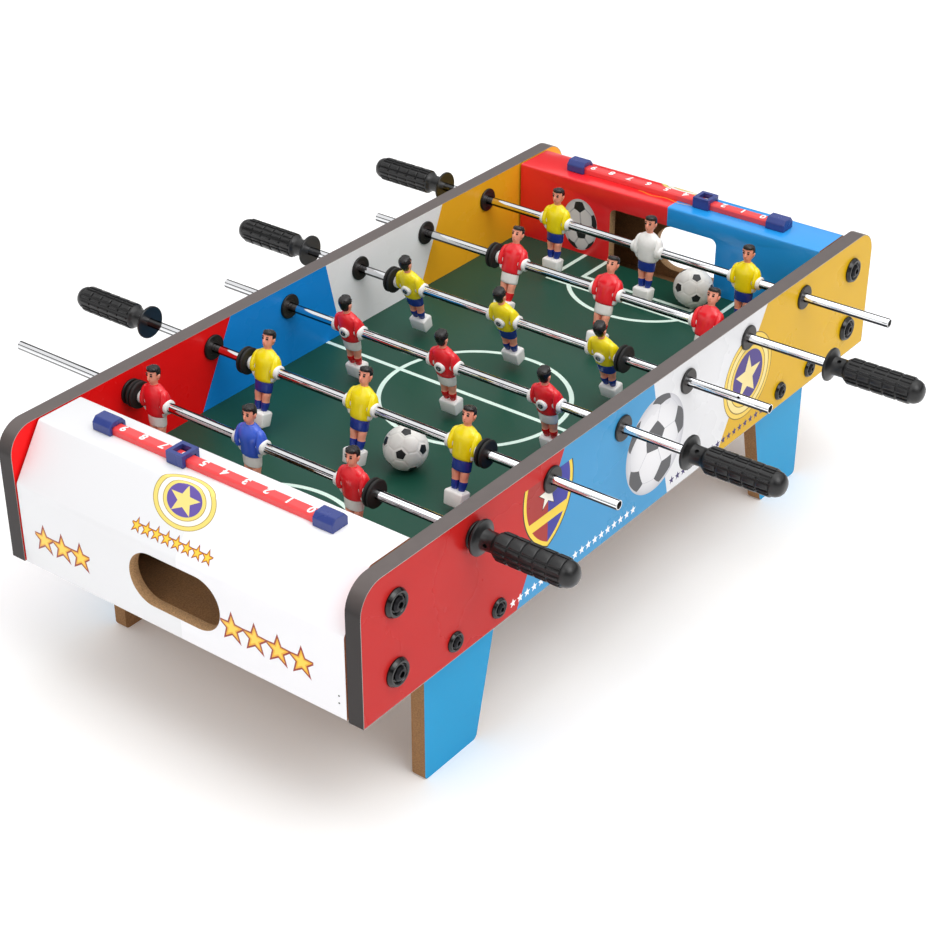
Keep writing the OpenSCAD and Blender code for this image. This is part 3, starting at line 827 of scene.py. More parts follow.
# ---------------------------------------------------------------- modelling steps


@dataclass(frozen=True)
class Ring:
    """One cross-section of a lofted shape: its height, centre and half-widths."""

    z: float
    rx: float
    ry: float
    x: float = 0.0
    y: float = 0.0


class Bench:
    """The modelling steps that the sub-assemblies share."""

    @staticmethod
    def clear() -> None:
        """Deselects everything, so that an operator acts on one piece."""
        for piece in bpy.context.view_layer.objects:
            piece.select_set(False)

    @classmethod
    def hold(cls, piece: Piece) -> None:
        """Selects one piece alone and makes it the active one."""
        cls.clear()
        bpy.context.view_layer.objects.active = piece
        piece.select_set(True)

    @classmethod
    @contextmanager
    def editing(cls, piece: Piece, mode: str = "FACE") -> Iterator[None]:
        """Opens a piece in edit mode and closes it again.

        Args:
            piece: The piece.
            mode: What is selected: VERT, EDGE or FACE.

        Yields:
            Nothing.
        """
        cls.hold(piece)
        modes = ("VERT", "EDGE", "FACE")
        bpy.context.tool_settings.mesh_select_mode = tuple(m == mode for m in modes)
        bpy.ops.object.mode_set(mode="EDIT")
        yield
        bpy.ops.object.mode_set(mode="OBJECT")

    @staticmethod
    def pick(piece: Piece, test: Test) -> None:
        """Selects the faces that pass a test of their centre, in millimetres, and normal."""
        mesh = piece.data
        mesh.vertices.foreach_set("select", [False] * len(mesh.vertices))
        mesh.edges.foreach_set("select", [False] * len(mesh.edges))
        for face in mesh.polygons:
            face.select = test(piece.matrix_world @ face.center / MM, face.normal)

    @classmethod
    def pick_edges(cls, piece: Piece, test: Test) -> None:
        """Selects the edges whose two ends, in millimetres, pass a test."""
        mesh = piece.data
        mesh.vertices.foreach_set("select", [False] * len(mesh.vertices))
        mesh.polygons.foreach_set("select", [False] * len(mesh.polygons))
        for edge in mesh.edges:
            a, b = (piece.matrix_world @ mesh.vertices[i].co / MM for i in edge.vertices)
            edge.select = test(a, b)

    @classmethod
    def modify(cls, piece: Piece, kind: str, **settings: object) -> None:
        """Adds one modifier and applies it."""
        cls.hold(piece)
        made = piece.modifiers.new(kind.lower(), kind)
        for name, value in settings.items():
            setattr(made, name, value)
        bpy.ops.object.modifier_apply(modifier=made.name)

    @classmethod
    def ease(cls, piece: Piece, width: float, segments: int, angle: float) -> None:
        """Rounds the edges that are sharper than an angle in degrees."""
        cls.modify(
            piece,
            "BEVEL",
            width=width * MM,
            segments=segments,
            limit_method="ANGLE",
            angle_limit=math.radians(angle),
        )

    @classmethod
    def cut(cls, piece: Piece, cutter: Piece) -> None:
        """Cuts one piece's shape out of another and throws the cutter away."""
        cls.modify(piece, "BOOLEAN", operation="DIFFERENCE", object=cutter, solver="EXACT")
        bpy.data.objects.remove(cutter)

    @classmethod
    def block(cls, size: tuple[float, float, float], centre: Vector) -> Piece:
        """Makes a block to shape further, at its size and place."""
        cls.clear()
        bpy.ops.mesh.primitive_cube_add(size=MM, location=(0, 0, 0))
        made = bpy.context.object
        with cls.editing(made):
            bpy.ops.mesh.select_all(action="SELECT")
            bpy.ops.transform.resize(value=size, center_override=(0, 0, 0))
            bpy.ops.transform.translate(value=centre * MM)
        return made

    @classmethod
    def settle(cls, piece: Piece) -> None:
        """Puts a piece's place into its mesh and turns its normals outwards."""
        cls.hold(piece)
        bpy.ops.object.transform_apply(location=True, rotation=True, scale=True)
        with cls.editing(piece):
            bpy.ops.mesh.select_all(action="SELECT")
            bpy.ops.mesh.remove_doubles(threshold=1e-6)
            bpy.ops.mesh.normals_make_consistent(inside=False)

    @classmethod
    def smooth(cls, piece: Piece, angle: float = 35.0) -> None:
        """Smooths the shading, apart from edges sharper than the angle in degrees."""
        cls.hold(piece)
        bpy.ops.object.shade_smooth_by_angle(angle=math.radians(angle))

    @classmethod
    def loft(cls, name: str, rings: Sequence[Ring], sides: int = 16) -> Piece:
        """Builds a closed shape by extruding a circle from ring to ring.

        Args:
            name: The piece's name.
            rings: The cross-sections, from the lowest.
            sides: The number of corners of each.

        Returns:
            The piece, with its axis along Z.
        """
        cls.clear()
        first = rings[0]
        at = Vector((first.x, first.y, first.z)) * MM
        bpy.ops.mesh.primitive_circle_add(
            vertices=sides, radius=MM, fill_type="NGON", location=(0, 0, 0)
        )
        piece = bpy.context.object
        piece.name = name
        with cls.editing(piece):
            bpy.ops.mesh.select_all(action="SELECT")
            bpy.ops.transform.resize(value=(first.rx, first.ry, 1), center_override=(0, 0, 0))
            bpy.ops.transform.translate(value=at)
            for low, high in zip(rings, rings[1:]):
                step = Vector((high.x - low.x, high.y - low.y, high.z - low.z)) * MM
                bpy.ops.mesh.extrude_region_move(TRANSFORM_OT_translate={"value": step})
                bpy.ops.transform.resize(
                    value=(high.rx / low.rx, high.ry / low.ry, 1),
                    center_override=(high.x * MM, high.y * MM, high.z * MM),
                )
        cls.settle(piece)
        return piece

    @classmethod
    def join(cls, name: str, parts: Sequence[Piece]) -> Piece:
        """Joins parts into one piece."""
        cls.hold(parts[0])
        for part in parts:
            part.select_set(True)
        bpy.ops.object.join()
        parts[0].name = name
        return parts[0]

    @classmethod
    def copy(cls, piece: Piece, name: str, matrix: Matrix) -> Piece:
        """Copies a piece with its own mesh, moved by a matrix in metres."""
        mesh = piece.data.copy()
        mesh.transform(matrix)
        if matrix.determinant() < 0:
            mesh.flip_normals()
        made = bpy.data.objects.new(name, mesh)
        bpy.context.scene.collection.objects.link(made)
        return made

    @classmethod
    def eased(cls, node: str, name: str, width: float, segments: int = 2) -> Piece:
        """Copies a CAD node's solids and rounds their sharp edges.

        Args:
            node: The CAD node.
            name: The new piece's name.
            width: The width of the rounding.
            segments: Its number of steps.

        Returns:
            The piece.
        """
        made = bpy.data.objects.new(name, frame["nodes"][node].data.copy())
        made.data.materials.clear()
        bpy.context.scene.collection.objects.link(made)
        with cls.editing(made):
            bpy.ops.mesh.select_all(action="SELECT")
            bpy.ops.mesh.remove_doubles(threshold=2e-6)
            bpy.ops.mesh.dissolve_limited(angle_limit=math.radians(0.5))
        cls.ease(made, width, segments, 30)
        cls.smooth(made)
        cls.modify(made, "WEIGHTED_NORMAL", keep_sharp=True)
        return made

    @staticmethod
    def clad(node: str, finish: Finish) -> None:
        """Gives a CAD node one finish and leaves its shape."""
        board = frame["nodes"][node]
        board.data.materials.clear()
        board.data.materials.append(finish.build())
        LOG.info("%s keeps its CAD shape", node)

    @staticmethod
    def dress(piece: Piece, finishes: Sequence[Finish], rule: Rule | None = None) -> None:
        """Gives a piece its materials, and each face the one that a rule picks.

        Args:
            piece: The piece.
            finishes: Its finishes.
            rule: Gives a finish's number from a face's centre, in millimetres, and normal.
        """
        piece.data.materials.clear()
        for finish in finishes:
            piece.data.materials.append(finish.build())
        for face in piece.data.polygons:
            face.material_index = rule(face.center / MM, face.normal) if rule else 0

    @staticmethod
    def deliver(piece: Piece, body: str, slot: str, *nodes: str) -> Piece:
        """Fixes a finished piece to its body and hides the CAD nodes that it stands for."""
        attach(piece, body)
        if nodes:
            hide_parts(*nodes)
        LOG.info("%s rides on %s, %d faces", piece.name, body, len(piece.data.polygons))
        return piece


def shift(x: float = 0, y: float = 0, z: float = 0) -> Matrix:
    """Gives a move in millimetres, counted from the middle of the case."""
    return Matrix.Translation(Vector((x, y + CASE_Y, z)) * MM)


# ---------------------------------------------------------------- the case


@dataclass
class SidePanels:
    """The two printed boards along the field, with a grey band glued round each.

    Attributes:
        ease: The rounding of the band's edges.
    """

    ease: float = 0.18

    def build(self) -> None:
        """Dresses the boards and eases the bands."""
        for side in ("front", "back"):
            Bench.clad(f"side_panel_{side}", PANEL_FOIL)
        bands = Bench.eased("edge_bands", "edge_band_strips", self.ease)
        Bench.dress(bands, [EDGE_BAND, EDGE_BAND_CUT], self.trimmed)
        Bench.deliver(bands, "table", "edge_band", "edge_bands")

    @staticmethod
    def trimmed(centre: Vector, normal: Vector) -> int:
        """Tells the band's trimmed sides from its broad face."""
        return int(abs(normal.y) > 0.6)


@dataclass
class Field:
    """The green playing board."""

    def build(self) -> None:
        """Dresses the board."""
        Bench.clad("pitch_board", PITCH_FOIL)


@dataclass
class EndBox:
    """An end box: one board, scored and folded round the ball return, its foil unbroken.

    Attributes:
        side: -1 for the near box, 1 for the far one.
        fold: The radius of the folds.
        half: Half its width between the panels.
        goal: Half the width and the height of the goal mouth.
        goal_round: The rounding of its upper corners.
        hole: Half the width of the return hole, and its lowest and highest point.
    """

    side: int
    fold: float = 1.6
    half: float = 155.2
    goal: Point = (55.5, 52.5)
    goal_round: float = 6.0
    hole: tuple[float, float, float] = (43.5, 119.75, 163.25)

    @property
    def name(self) -> str:
        """The box's name."""
        return "near" if self.side < 0 else "far"

    @property
    def foil(self) -> Finish:
        """The foil that covers the box."""
        return NEAR_BOX_FOIL if self.side < 0 else FAR_BOX_FOIL

    def build(self) -> None:
        """Folds the board, cuts both openings and dresses everything."""
        board = self.folded_board()
        for plug in (self.goal_plug(), self.hole_plug()):
            Bench.cut(board, plug)
        Bench.ease(board, 0.35, 2, 60)
        Bench.smooth(board, 30)
        Bench.dress(board, [self.foil, MILLED_FIBREBOARD, RAW_FIBREBOARD], self.surface)
        parts = ("goal_wall", "box_top", "box_slope", "box_outer")
        nodes = [f"{self.name}_{part}" for part in parts]
        Bench.deliver(board, "table", f"{self.name}_box", *nodes)
        self.brads()

    def folded_board(self) -> Piece:
        """Folds one board from the goal line over the top and down to the outer edge."""
        wall_low, wall_high = box_mm("far_goal_wall")
        x0, x3 = wall_low.x, box_mm("far_box_outer")[1].x
        z0 = wall_low.z
        profile = [(x0, z0), (x0, BOX_TOP), (FOLD_X, BOX_TOP), (x3, FOLD_Z), (x3, z0)]
        Bench.clear()
        bpy.ops.mesh.primitive_plane_add(size=2 * MM, location=(0, 0, 0))
        board = bpy.context.object
        board.name = f"{self.name}_box_board"
        with Bench.editing(board):
            bpy.ops.mesh.select_all(action="SELECT")
            bpy.ops.mesh.delete(type="ONLY_FACE")
        Bench.pick_edges(board, lambda a, b: a.x > 0.5 and b.x > 0.5)
        with Bench.editing(board, "EDGE"):
            bpy.ops.mesh.select_all(action="INVERT")
            bpy.ops.mesh.delete(type="EDGE")
        with Bench.editing(board, "EDGE"):
            bpy.ops.mesh.select_all(action="SELECT")
            bpy.ops.transform.resize(value=(1, self.half, 1), center_override=(0, 0, 0))
            start = Vector((profile[0][0] - 1.0, 0, profile[0][1])) * MM
            bpy.ops.transform.translate(value=start)
            for one, two in zip(profile, profile[1:]):
                step = Vector((two[0] - one[0], 0, two[1] - one[1])) * MM
                bpy.ops.mesh.extrude_region_move(TRANSFORM_OT_translate={"value": step})
        corners = profile[1:-1]

        def at_fold(a: Vector, b: Vector) -> bool:
            """Tells a fold line from the rest."""
            same = abs(a.x - b.x) < 0.1 and abs(a.z - b.z) < 0.1
            return same and any(abs(a.x - x) < 0.1 and abs(a.z - z) < 0.1 for x, z in corners)

        Bench.pick_edges(board, at_fold)
        with Bench.editing(board, "EDGE"):
            bpy.ops.mesh.bevel(offset=self.fold * MM, segments=4, affect="EDGES")
        thick = wall_high.x - x0
        Bench.settle(board)
        Bench.modify(board, "SOLIDIFY", thickness=thick * MM, offset=-1, use_even_offset=True)
        if self.inside_out(board):
            board.data.flip_normals()
        matrix = shift()
        if self.side < 0:
            matrix = matrix @ Matrix.Scale(-1, 4, (1, 0, 0))
        board.data.transform(matrix)
        if self.side < 0:
            board.data.flip_normals()
        return board

    @staticmethod
    def inside_out(board: Piece) -> bool:
        """Tells whether the top faces of the board look down."""
        tops = [f for f in board.data.polygons if f.center.z / MM > BOX_TOP - 0.05]
        return bool(tops) and sum(f.normal.z for f in tops) < 0

    def goal_plug(self) -> Piece:
        """Makes the plug that cuts the goal mouth, its upper corners rounded."""
        half, height = self.goal
        middle = Vector((0, 0, PITCH_TOP + height / 2 - 10))
        plug = Bench.block((20.0, 2 * half, height + 20), middle)
        top = PITCH_TOP + height - 0.1
        Bench.pick_edges(plug, lambda a, b: abs(a.y - b.y) < 0.1 and min(a.z, b.z) > top)
        with Bench.editing(plug, "EDGE"):
            bpy.ops.mesh.bevel(offset=self.goal_round * MM, segments=12, affect="EDGES")
        plug.data.transform(shift(279.5 * self.side))
        return plug

    def hole_plug(self) -> Piece:
        """Makes the plug that cuts the return hole, its ends round."""
        half, low, high = self.hole
        plug = Bench.block((20.0, 2 * half, high - low), Vector((0, 0, (low + high) / 2)))
        Bench.pick_edges(plug, lambda a, b: abs(a.x - b.x) > 1)
        with Bench.editing(plug, "EDGE"):
            radius = (high - low) / 2 - 0.01
            bpy.ops.mesh.bevel(offset=radius * MM, segments=12, affect="EDGES")
        plug.data.transform(shift(340.0 * self.side))
        return plug

    def brads(self) -> None:
        """Drives two small brads through the outer face into a cheek."""
        x = box_mm("far_box_outer")[1].x
        rings = [Ring(-0.6, 0.7, 0.7), Ring(0.1, 0.7, 0.7), Ring(0.25, 0.4, 0.4)]
        heads = []
        for z in (121.3, 115.3):
            head = Bench.loft("brad", rings, 12)
            turn = Matrix.Rotation(math.radians(90 * self.side), 4, "Y")
            head.data.transform(shift(x * self.side, 149.0 * self.side, z) @ turn)
            heads.append(head)
        pair = Bench.join(f"{self.name}_box_brads", heads)
        Bench.dress(pair, [BLACK_OXIDE_STEEL])
        Bench.deliver(pair, "table", "black_screw")

    def surface(self, centre: Vector, normal: Vector) -> int:
        """Tells the foil from the cut edges and from the raw inner face."""
        x = abs(centre.x)
        out = normal.x * (1 if centre.x > 0 else -1)
        if x < 275.3 and out < -0.5:
            return 0
        if centre.z > BOX_TOP - 1.7 and normal.z > 0.3:
            return 0
        if x > FOLD_X - 1 and out > 0.4 and (x > 344.0 or normal.z > 0.2):
            return 0
        edge = abs(out) < 0.5 and x < 284.3 and centre.z < BOX_TOP - 12
        rim = x > 335.0 and abs(out) < 0.5 and abs(centre.y - CASE_Y) < 45
        return 1 if edge or rim else 2


@dataclass
class BoxInsides:
    """The raw boards inside both end boxes."""

    def build(self) -> None:
        """Dresses the floors and the cheeks."""
        for node in ("box_floors", "box_cheeks"):
            Bench.clad(node, RAW_FIBREBOARD)


@dataclass
class Legs:
    """Four tapered legs, foil on their outer faces and raw elsewhere.

    Attributes:
        ease: The rounding of their edges.
    """

    ease: float = 0.5

    def build(self) -> None:
        """Eases and dresses every leg."""
        for end in ("near", "far"):
            for side in ("front", "back"):
                node = f"leg_{end}_{side}"
                leg = Bench.eased(node, f"{node}_board", self.ease)
                Bench.dress(leg, [LEG_FOIL, RAW_FIBREBOARD], self.surface)
                Bench.deliver(leg, "table", "leg_board", node)

    def surface(self, centre: Vector, normal: Vector) -> int:
        """Tells the foil from the raw board."""
        return int(normal.y * (1 if centre.y > CASE_Y else -1) < 0.7)


@dataclass
class Screws:
    """Socket screws in cup washers: four at each end of each panel.

    Attributes:
        ease: The rounding of their edges.
    """

    ease: float = 0.25

    def build(self) -> None:
        """Eases and dresses screws and washers."""
        for node, finish, slot in (
            ("leg_screws", BLACK_OXIDE_STEEL, "black_screw"),
            ("box_screws", BLACK_OXIDE_STEEL, "black_screw"),
            ("leg_washers", GLOSS_POLYSTYRENE, "black_cup"),
            ("box_washers", GLOSS_POLYSTYRENE, "black_cup"),
        ):
            made = Bench.eased(node, f"{node}_set", self.ease)
            Bench.dress(made, [finish])
            Bench.deliver(made, "table", slot, node)


@dataclass
class Bushings:
    """The plastic bearings of the rods, a collar outside and a ring inside.

    Attributes:
        ease: The rounding of their edges.
        hub: The radius of the brownish face round the rod.
    """

    ease: float = 0.3
    hub: float = 6.6

    def build(self) -> None:
        """Eases and dresses both rows."""
        for side in ("front", "back"):
            node = f"bushings_{side}"
            made = Bench.eased(node, f"bushing_row_{side}", self.ease)
            Bench.dress(made, [MOULDED_NYLON, NYLON_HUB], self.surface)
            Bench.deliver(made, "table", "bushing_plastic", node)

    def surface(self, centre: Vector, normal: Vector) -> int:
        """Tells the brownish face round the rod from the rest."""
        x = rod_x(round(centre.x / ROD_PITCH + 3.5))
        return int(math.hypot(centre.x - x, centre.z - ROD_Z) < self.hub)


# ---------------------------------------------------------------- the rods


class Part(Enum):
    """The painted zones of a player, in the order of its materials."""

    SHIRT = 0
    SHORTS = 1
    SOCKS = 2
    SKIN = 3
    HAIR = 4
    WHITE = 5
    EYES = 6
    LIPS = 7


def player_finishes(kit: Kit) -> list[Finish]:
    """Gives a player's finishes in the order of its zones."""
    bare = [FLESH_PAINT, HAIR_PAINT, PLAYER_WHITE, EYE_PAINT, LIP_PAINT]
    return [*kit_finishes(kit), *bare]


@dataclass
class Player:
    """One moulded player round the rod's axis, facing +X.

    Attributes:
        sides: How many facets go round a limb before it is rounded.
        sole: How far the foot's underside lies below the rod.
    """

    sides: int = 12
    sole: float = -47.3

    def part(self, name: str, rings: Sequence[Ring], zone: Part) -> Piece:
        """Lofts one limb, rounds it and paints it."""
        made = Bench.loft(name, rings, self.sides)
        Bench.modify(made, "SUBSURF", levels=1, render_levels=1)
        self.paint(made, lambda centre: zone)
        return made

    @staticmethod
    def paint(piece: Piece, rule: Callable[[Vector], Part]) -> None:
        """Gives each face the zone that a rule picks from its centre."""
        piece.data.materials.clear()
        for paint in player_finishes(Kit.RED):
            piece.data.materials.append(paint.build())
        for face in piece.data.polygons:
            face.material_index = rule(face.center / MM).value

    def torso(self) -> Piece:
        """Lofts the shirt, from its hem to the collar."""
        rings = [
            Ring(-10.6, 5.6, 8.6),
            Ring(-10.2, 6.3, 9.7),
            Ring(-7.0, 6.9, 10.0),
            Ring(-3.0, 7.1, 9.8),
            Ring(1.0, 7.2, 10.1, 0.2),
            Ring(5.0, 7.3, 11.0, 0.3),
            Ring(8.6, 6.8, 11.4, 0.1),
            Ring(11.6, 5.7, 10.2, -0.2),
            Ring(13.8, 4.6, 7.4, -0.3),
            Ring(15.2, 3.7, 4.6, 0.0),
            Ring(15.8, 3.2, 3.6, 0.1),
        ]
        return self.part("torso", rings, Part.SHIRT)

    def arm(self, side: int) -> list[Piece]:
        """Lofts a sleeve and the bare forearm that runs to the hip."""
        sleeve = [
            Ring(-5.4, 3.4, 1.9, 0.8, side * 10.2),
            Ring(-4.8, 4.6, 2.6, 0.8, side * 10.3),
            Ring(0.0, 6.5, 3.1, 0.4, side * 10.7),
            Ring(4.0, 5.6, 3.3, 0.2, side * 10.7),
            Ring(8.0, 4.3, 3.3, 0.0, side * 10.1),
            Ring(11.0, 3.2, 3.0, -0.2, side * 9.0),
            Ring(12.8, 2.0, 2.0, -0.3, side * 7.6),
        ]
        forearm = [
            Ring(-9.4, 1.6, 1.1, 0.8, side * 8.8),
            Ring(-8.4, 2.5, 1.7, 0.8, side * 9.2),
            Ring(-6.0, 3.2, 2.1, 0.7, side * 9.9),
            Ring(-3.0, 3.8, 2.3, 0.6, side * 10.6),
            Ring(-1.0, 3.8, 2.0, 0.5, side * 10.8),
        ]
        return [
            self.part("sleeve", sleeve, Part.SHIRT),
            self.part("forearm", forearm, Part.WHITE),
        ]

    def shorts(self) -> Piece:
        """Lofts the shorts, with a slight flare at the hem."""
        rings = [
            Ring(-19.6, 4.2, 7.4),
            Ring(-19.2, 5.2, 8.8),
            Ring(-16.0, 5.3, 8.8),
            Ring(-12.0, 5.7, 8.9),
            Ring(-8.0, 5.9, 8.6),
        ]
        return self.part("shorts", rings, Part.SHORTS)

    def leg(self, side: int) -> Piece:
        """Lofts a bare leg and its sock as one, the sock a little thicker."""
        rings = [
            Ring(-35.5, 2.6, 2.7, 0.4, side * 3.1),
            Ring(-33.5, 2.9, 2.9, 0.3, side * 3.2),
            Ring(-30.5, 3.5, 3.4, -0.1, side * 3.4),
            Ring(-27.6, 3.6, 3.5, -0.1, side * 3.6),
            Ring(-27.0, 3.1, 3.1, 0.0, side * 3.6),
            Ring(-25.0, 3.1, 3.2, 0.3, side * 3.7),
            Ring(-22.0, 3.5, 3.6, 0.3, side * 3.9),
            Ring(-18.0, 3.9, 4.0, 0.1, side * 4.1),
        ]
        made = Bench.loft("leg", rings, self.sides)
        Bench.modify(made, "SUBSURF", levels=1, render_levels=1)
        self.paint(made, lambda c: Part.SOCKS if c.z < -27.15 else Part.SKIN)
        return made

    def foot(self) -> Piece:
        """Shapes the block that strikes the ball: chamfered above, its corners rounded."""
        block = Bench.block((11.6, 16.4, 12.6), Vector((1, 0, -41)))
        Bench.pick(block, lambda c, n: n.z > 0.9)
        with Bench.editing(block):
            bpy.ops.mesh.inset(thickness=1.8 * MM)
            bpy.ops.transform.translate(value=(0, 0, 1.0 * MM))
        Bench.pick(block, lambda c, n: n.z < -0.9)
        with Bench.editing(block):
            bpy.ops.transform.resize(value=(0.86, 0.94, 1), center_override=(MM, 0, self.sole * MM))
        Bench.settle(block)
        block.data.transform(Matrix.Translation((0, 0, -0.9 * MM)))
        for point in block.data.vertices:
            point.co.z = max(point.co.z, self.sole * MM)
        Bench.ease(block, 1.3, 3, 20)
        self.paint(block, lambda c: Part.WHITE)
        return block

    def hubs(self) -> list[Piece]:
        """Lofts the white bosses that the rod runs through, and the screw boss behind."""
        across = [
            Ring(-15.2, 5.0, 5.0),
            Ring(-14.7, 5.5, 5.5),
            Ring(-12.4, 5.7, 5.7),
            Ring(-11.0, 4.2, 4.2),
            Ring(11.0, 4.2, 4.2),
            Ring(12.4, 5.7, 5.7),
            Ring(14.7, 5.5, 5.5),
            Ring(15.2, 5.0, 5.0),
        ]
        hub = Bench.loft("hub", across, 32)
        hub.data.transform(Matrix.Rotation(math.radians(90), 4, "X"))
        back = [
            Ring(-8.6, 3.2, 3.2),
            Ring(-8.6, 3.9, 3.9),
            Ring(-8.2, 4.4, 4.4),
            Ring(-4.0, 4.8, 4.8),
        ]
        boss = Bench.loft("boss", back, 24)
        boss.data.transform(Matrix.Rotation(math.radians(90), 4, "Y"))
        for piece in (hub, boss):
            self.paint(piece, lambda c: Part.WHITE)
        return [hub, boss]

    def screw(self) -> Piece:
        """Shapes the pan head of the fixing screw, with its cross recess."""
        rings = [
            Ring(0.0, 2.6, 2.6),
            Ring(0.5, 2.6, 2.6),
            Ring(1.1, 2.1, 2.1),
            Ring(1.35, 1.2, 1.2),
        ]
        head = Bench.loft("screw", rings, 20)
        for turn in (0, 90):
            slot = Bench.block((3.0, 0.7, 1.6), Vector((0, 0, 1.4)))
            slot.data.transform(Matrix.Rotation(math.radians(turn), 4, "Z"))
            Bench.cut(head, slot)
        head.data.transform(Matrix.Rotation(math.radians(-90), 4, "Y"))
        head.data.transform(Matrix.Translation((-7.9 * MM, 0, 0)))
        return head

    def head(self) -> Piece:
        """Shapes the head: neck, jaw, swept hair and face."""
        rings = [
            Ring(13.6, 3.2, 3.4, 0.0),
            Ring(16.8, 2.8, 2.9, 0.2),
            Ring(18.0, 3.8, 3.2, 1.1),
            Ring(20.0, 4.6, 4.1, 0.8),
            Ring(23.0, 5.1, 4.7, 0.3),
            Ring(26.0, 5.2, 5.0, 0.0),
            Ring(28.4, 4.7, 4.5, -0.2),
            Ring(30.0, 3.1, 2.9, -0.3),
        ]
        skull = Bench.loft("head", rings, 16)
        Bench.modify(skull, "SUBSURF", levels=1, render_levels=1)

        def hair(c: Vector, n: Vector) -> bool:
            """Tells where hair grows: above the brow, down the back."""
            line = 27.2 if c.x > 1.6 else (24.2 if c.x > -1.2 else 19.6)
            return c.z > line and n.z > -0.6

        self.paint(skull, lambda c: Part.SKIN)
        Bench.pick(skull, hair)
        self.thicken(skull, 0.75)
        for face in skull.data.polygons:
            if face.select or self.beside_hair(face.center / MM):
                face.material_index = Part.HAIR.value
        Bench.pick(skull, lambda c, n: c.x > 1.5 and c.z > 28.2 and n.x > 0.2)
        self.thicken(skull, 0.6)
        Bench.modify(skull, "SUBSURF", levels=1, render_levels=1)
        return Bench.join("head", [skull, *self.face_details()])

    @staticmethod
    def thicken(skull: Piece, height: float) -> None:
        """Raises the selected faces along their normals."""
        with Bench.editing(skull):
            bpy.ops.mesh.extrude_region_shrink_fatten(
                TRANSFORM_OT_shrink_fatten={"value": height * MM}
            )

    @staticmethod
    def beside_hair(centre: Vector) -> bool:
        """Tells whether a face lies outside the skull, as the hair's edge does."""
        reach = math.hypot(centre.x / 5.5, centre.y / 5.25)
        return centre.z > 19.8 and reach > 1.0 and centre.x < 1.4

    def face_details(self) -> list[Piece]:
        """Shapes the nose, ears, brows, eyes and mouth."""
        nose = self.part(
            "nose",
            [Ring(20.9, 0.9, 0.9, 5.2), Ring(21.5, 1.4, 1.1, 5.5), Ring(24.6, 0.5, 0.6, 5.1)],
            Part.SKIN,
        )
        details = [nose]
        for side in (-1, 1):
            ear = [
                Ring(21.2, 0.7, 0.5, -0.3, side * 4.6),
                Ring(22.4, 1.2, 0.8, -0.4, side * 4.9),
                Ring(24.2, 1.4, 0.9, -0.5, side * 5.1),
                Ring(25.0, 0.8, 0.6, -0.5, side * 5.0),
            ]
            eye = [
                Ring(23.5, 0.4, 0.6, 4.6, side * 2.0),
                Ring(23.9, 0.7, 1.2, 4.65, side * 2.0),
                Ring(24.7, 0.7, 1.2, 4.65, side * 2.0),
                Ring(25.0, 0.4, 0.7, 4.6, side * 2.0),
            ]
            brow = [
                Ring(25.5, 0.6, 1.5, 4.75, side * 2.1),
                Ring(26.3, 0.6, 1.4, 4.65, side * 2.3),
            ]
            details.append(self.part("ear", ear, Part.SKIN))
            details.append(self.part("eye", eye, Part.EYES))
            details.append(self.part("brow", brow, Part.HAIR))
        mouth = [Ring(19.2, 0.6, 1.2, 4.7), Ring(19.8, 0.7, 1.4, 4.8)]
        details.append(self.part("mouth", mouth, Part.LIPS))
        return details

    def build(self) -> Piece:
        """Joins the whole player."""
        parts = [self.torso(), self.shorts(), self.foot(), self.head(), *self.hubs()]
        for side in (-1, 1):
            parts += [*self.arm(side), self.leg(side)]
        figure = Bench.join("player_pattern", parts)
        Bench.smooth(figure, 50)
        return figure


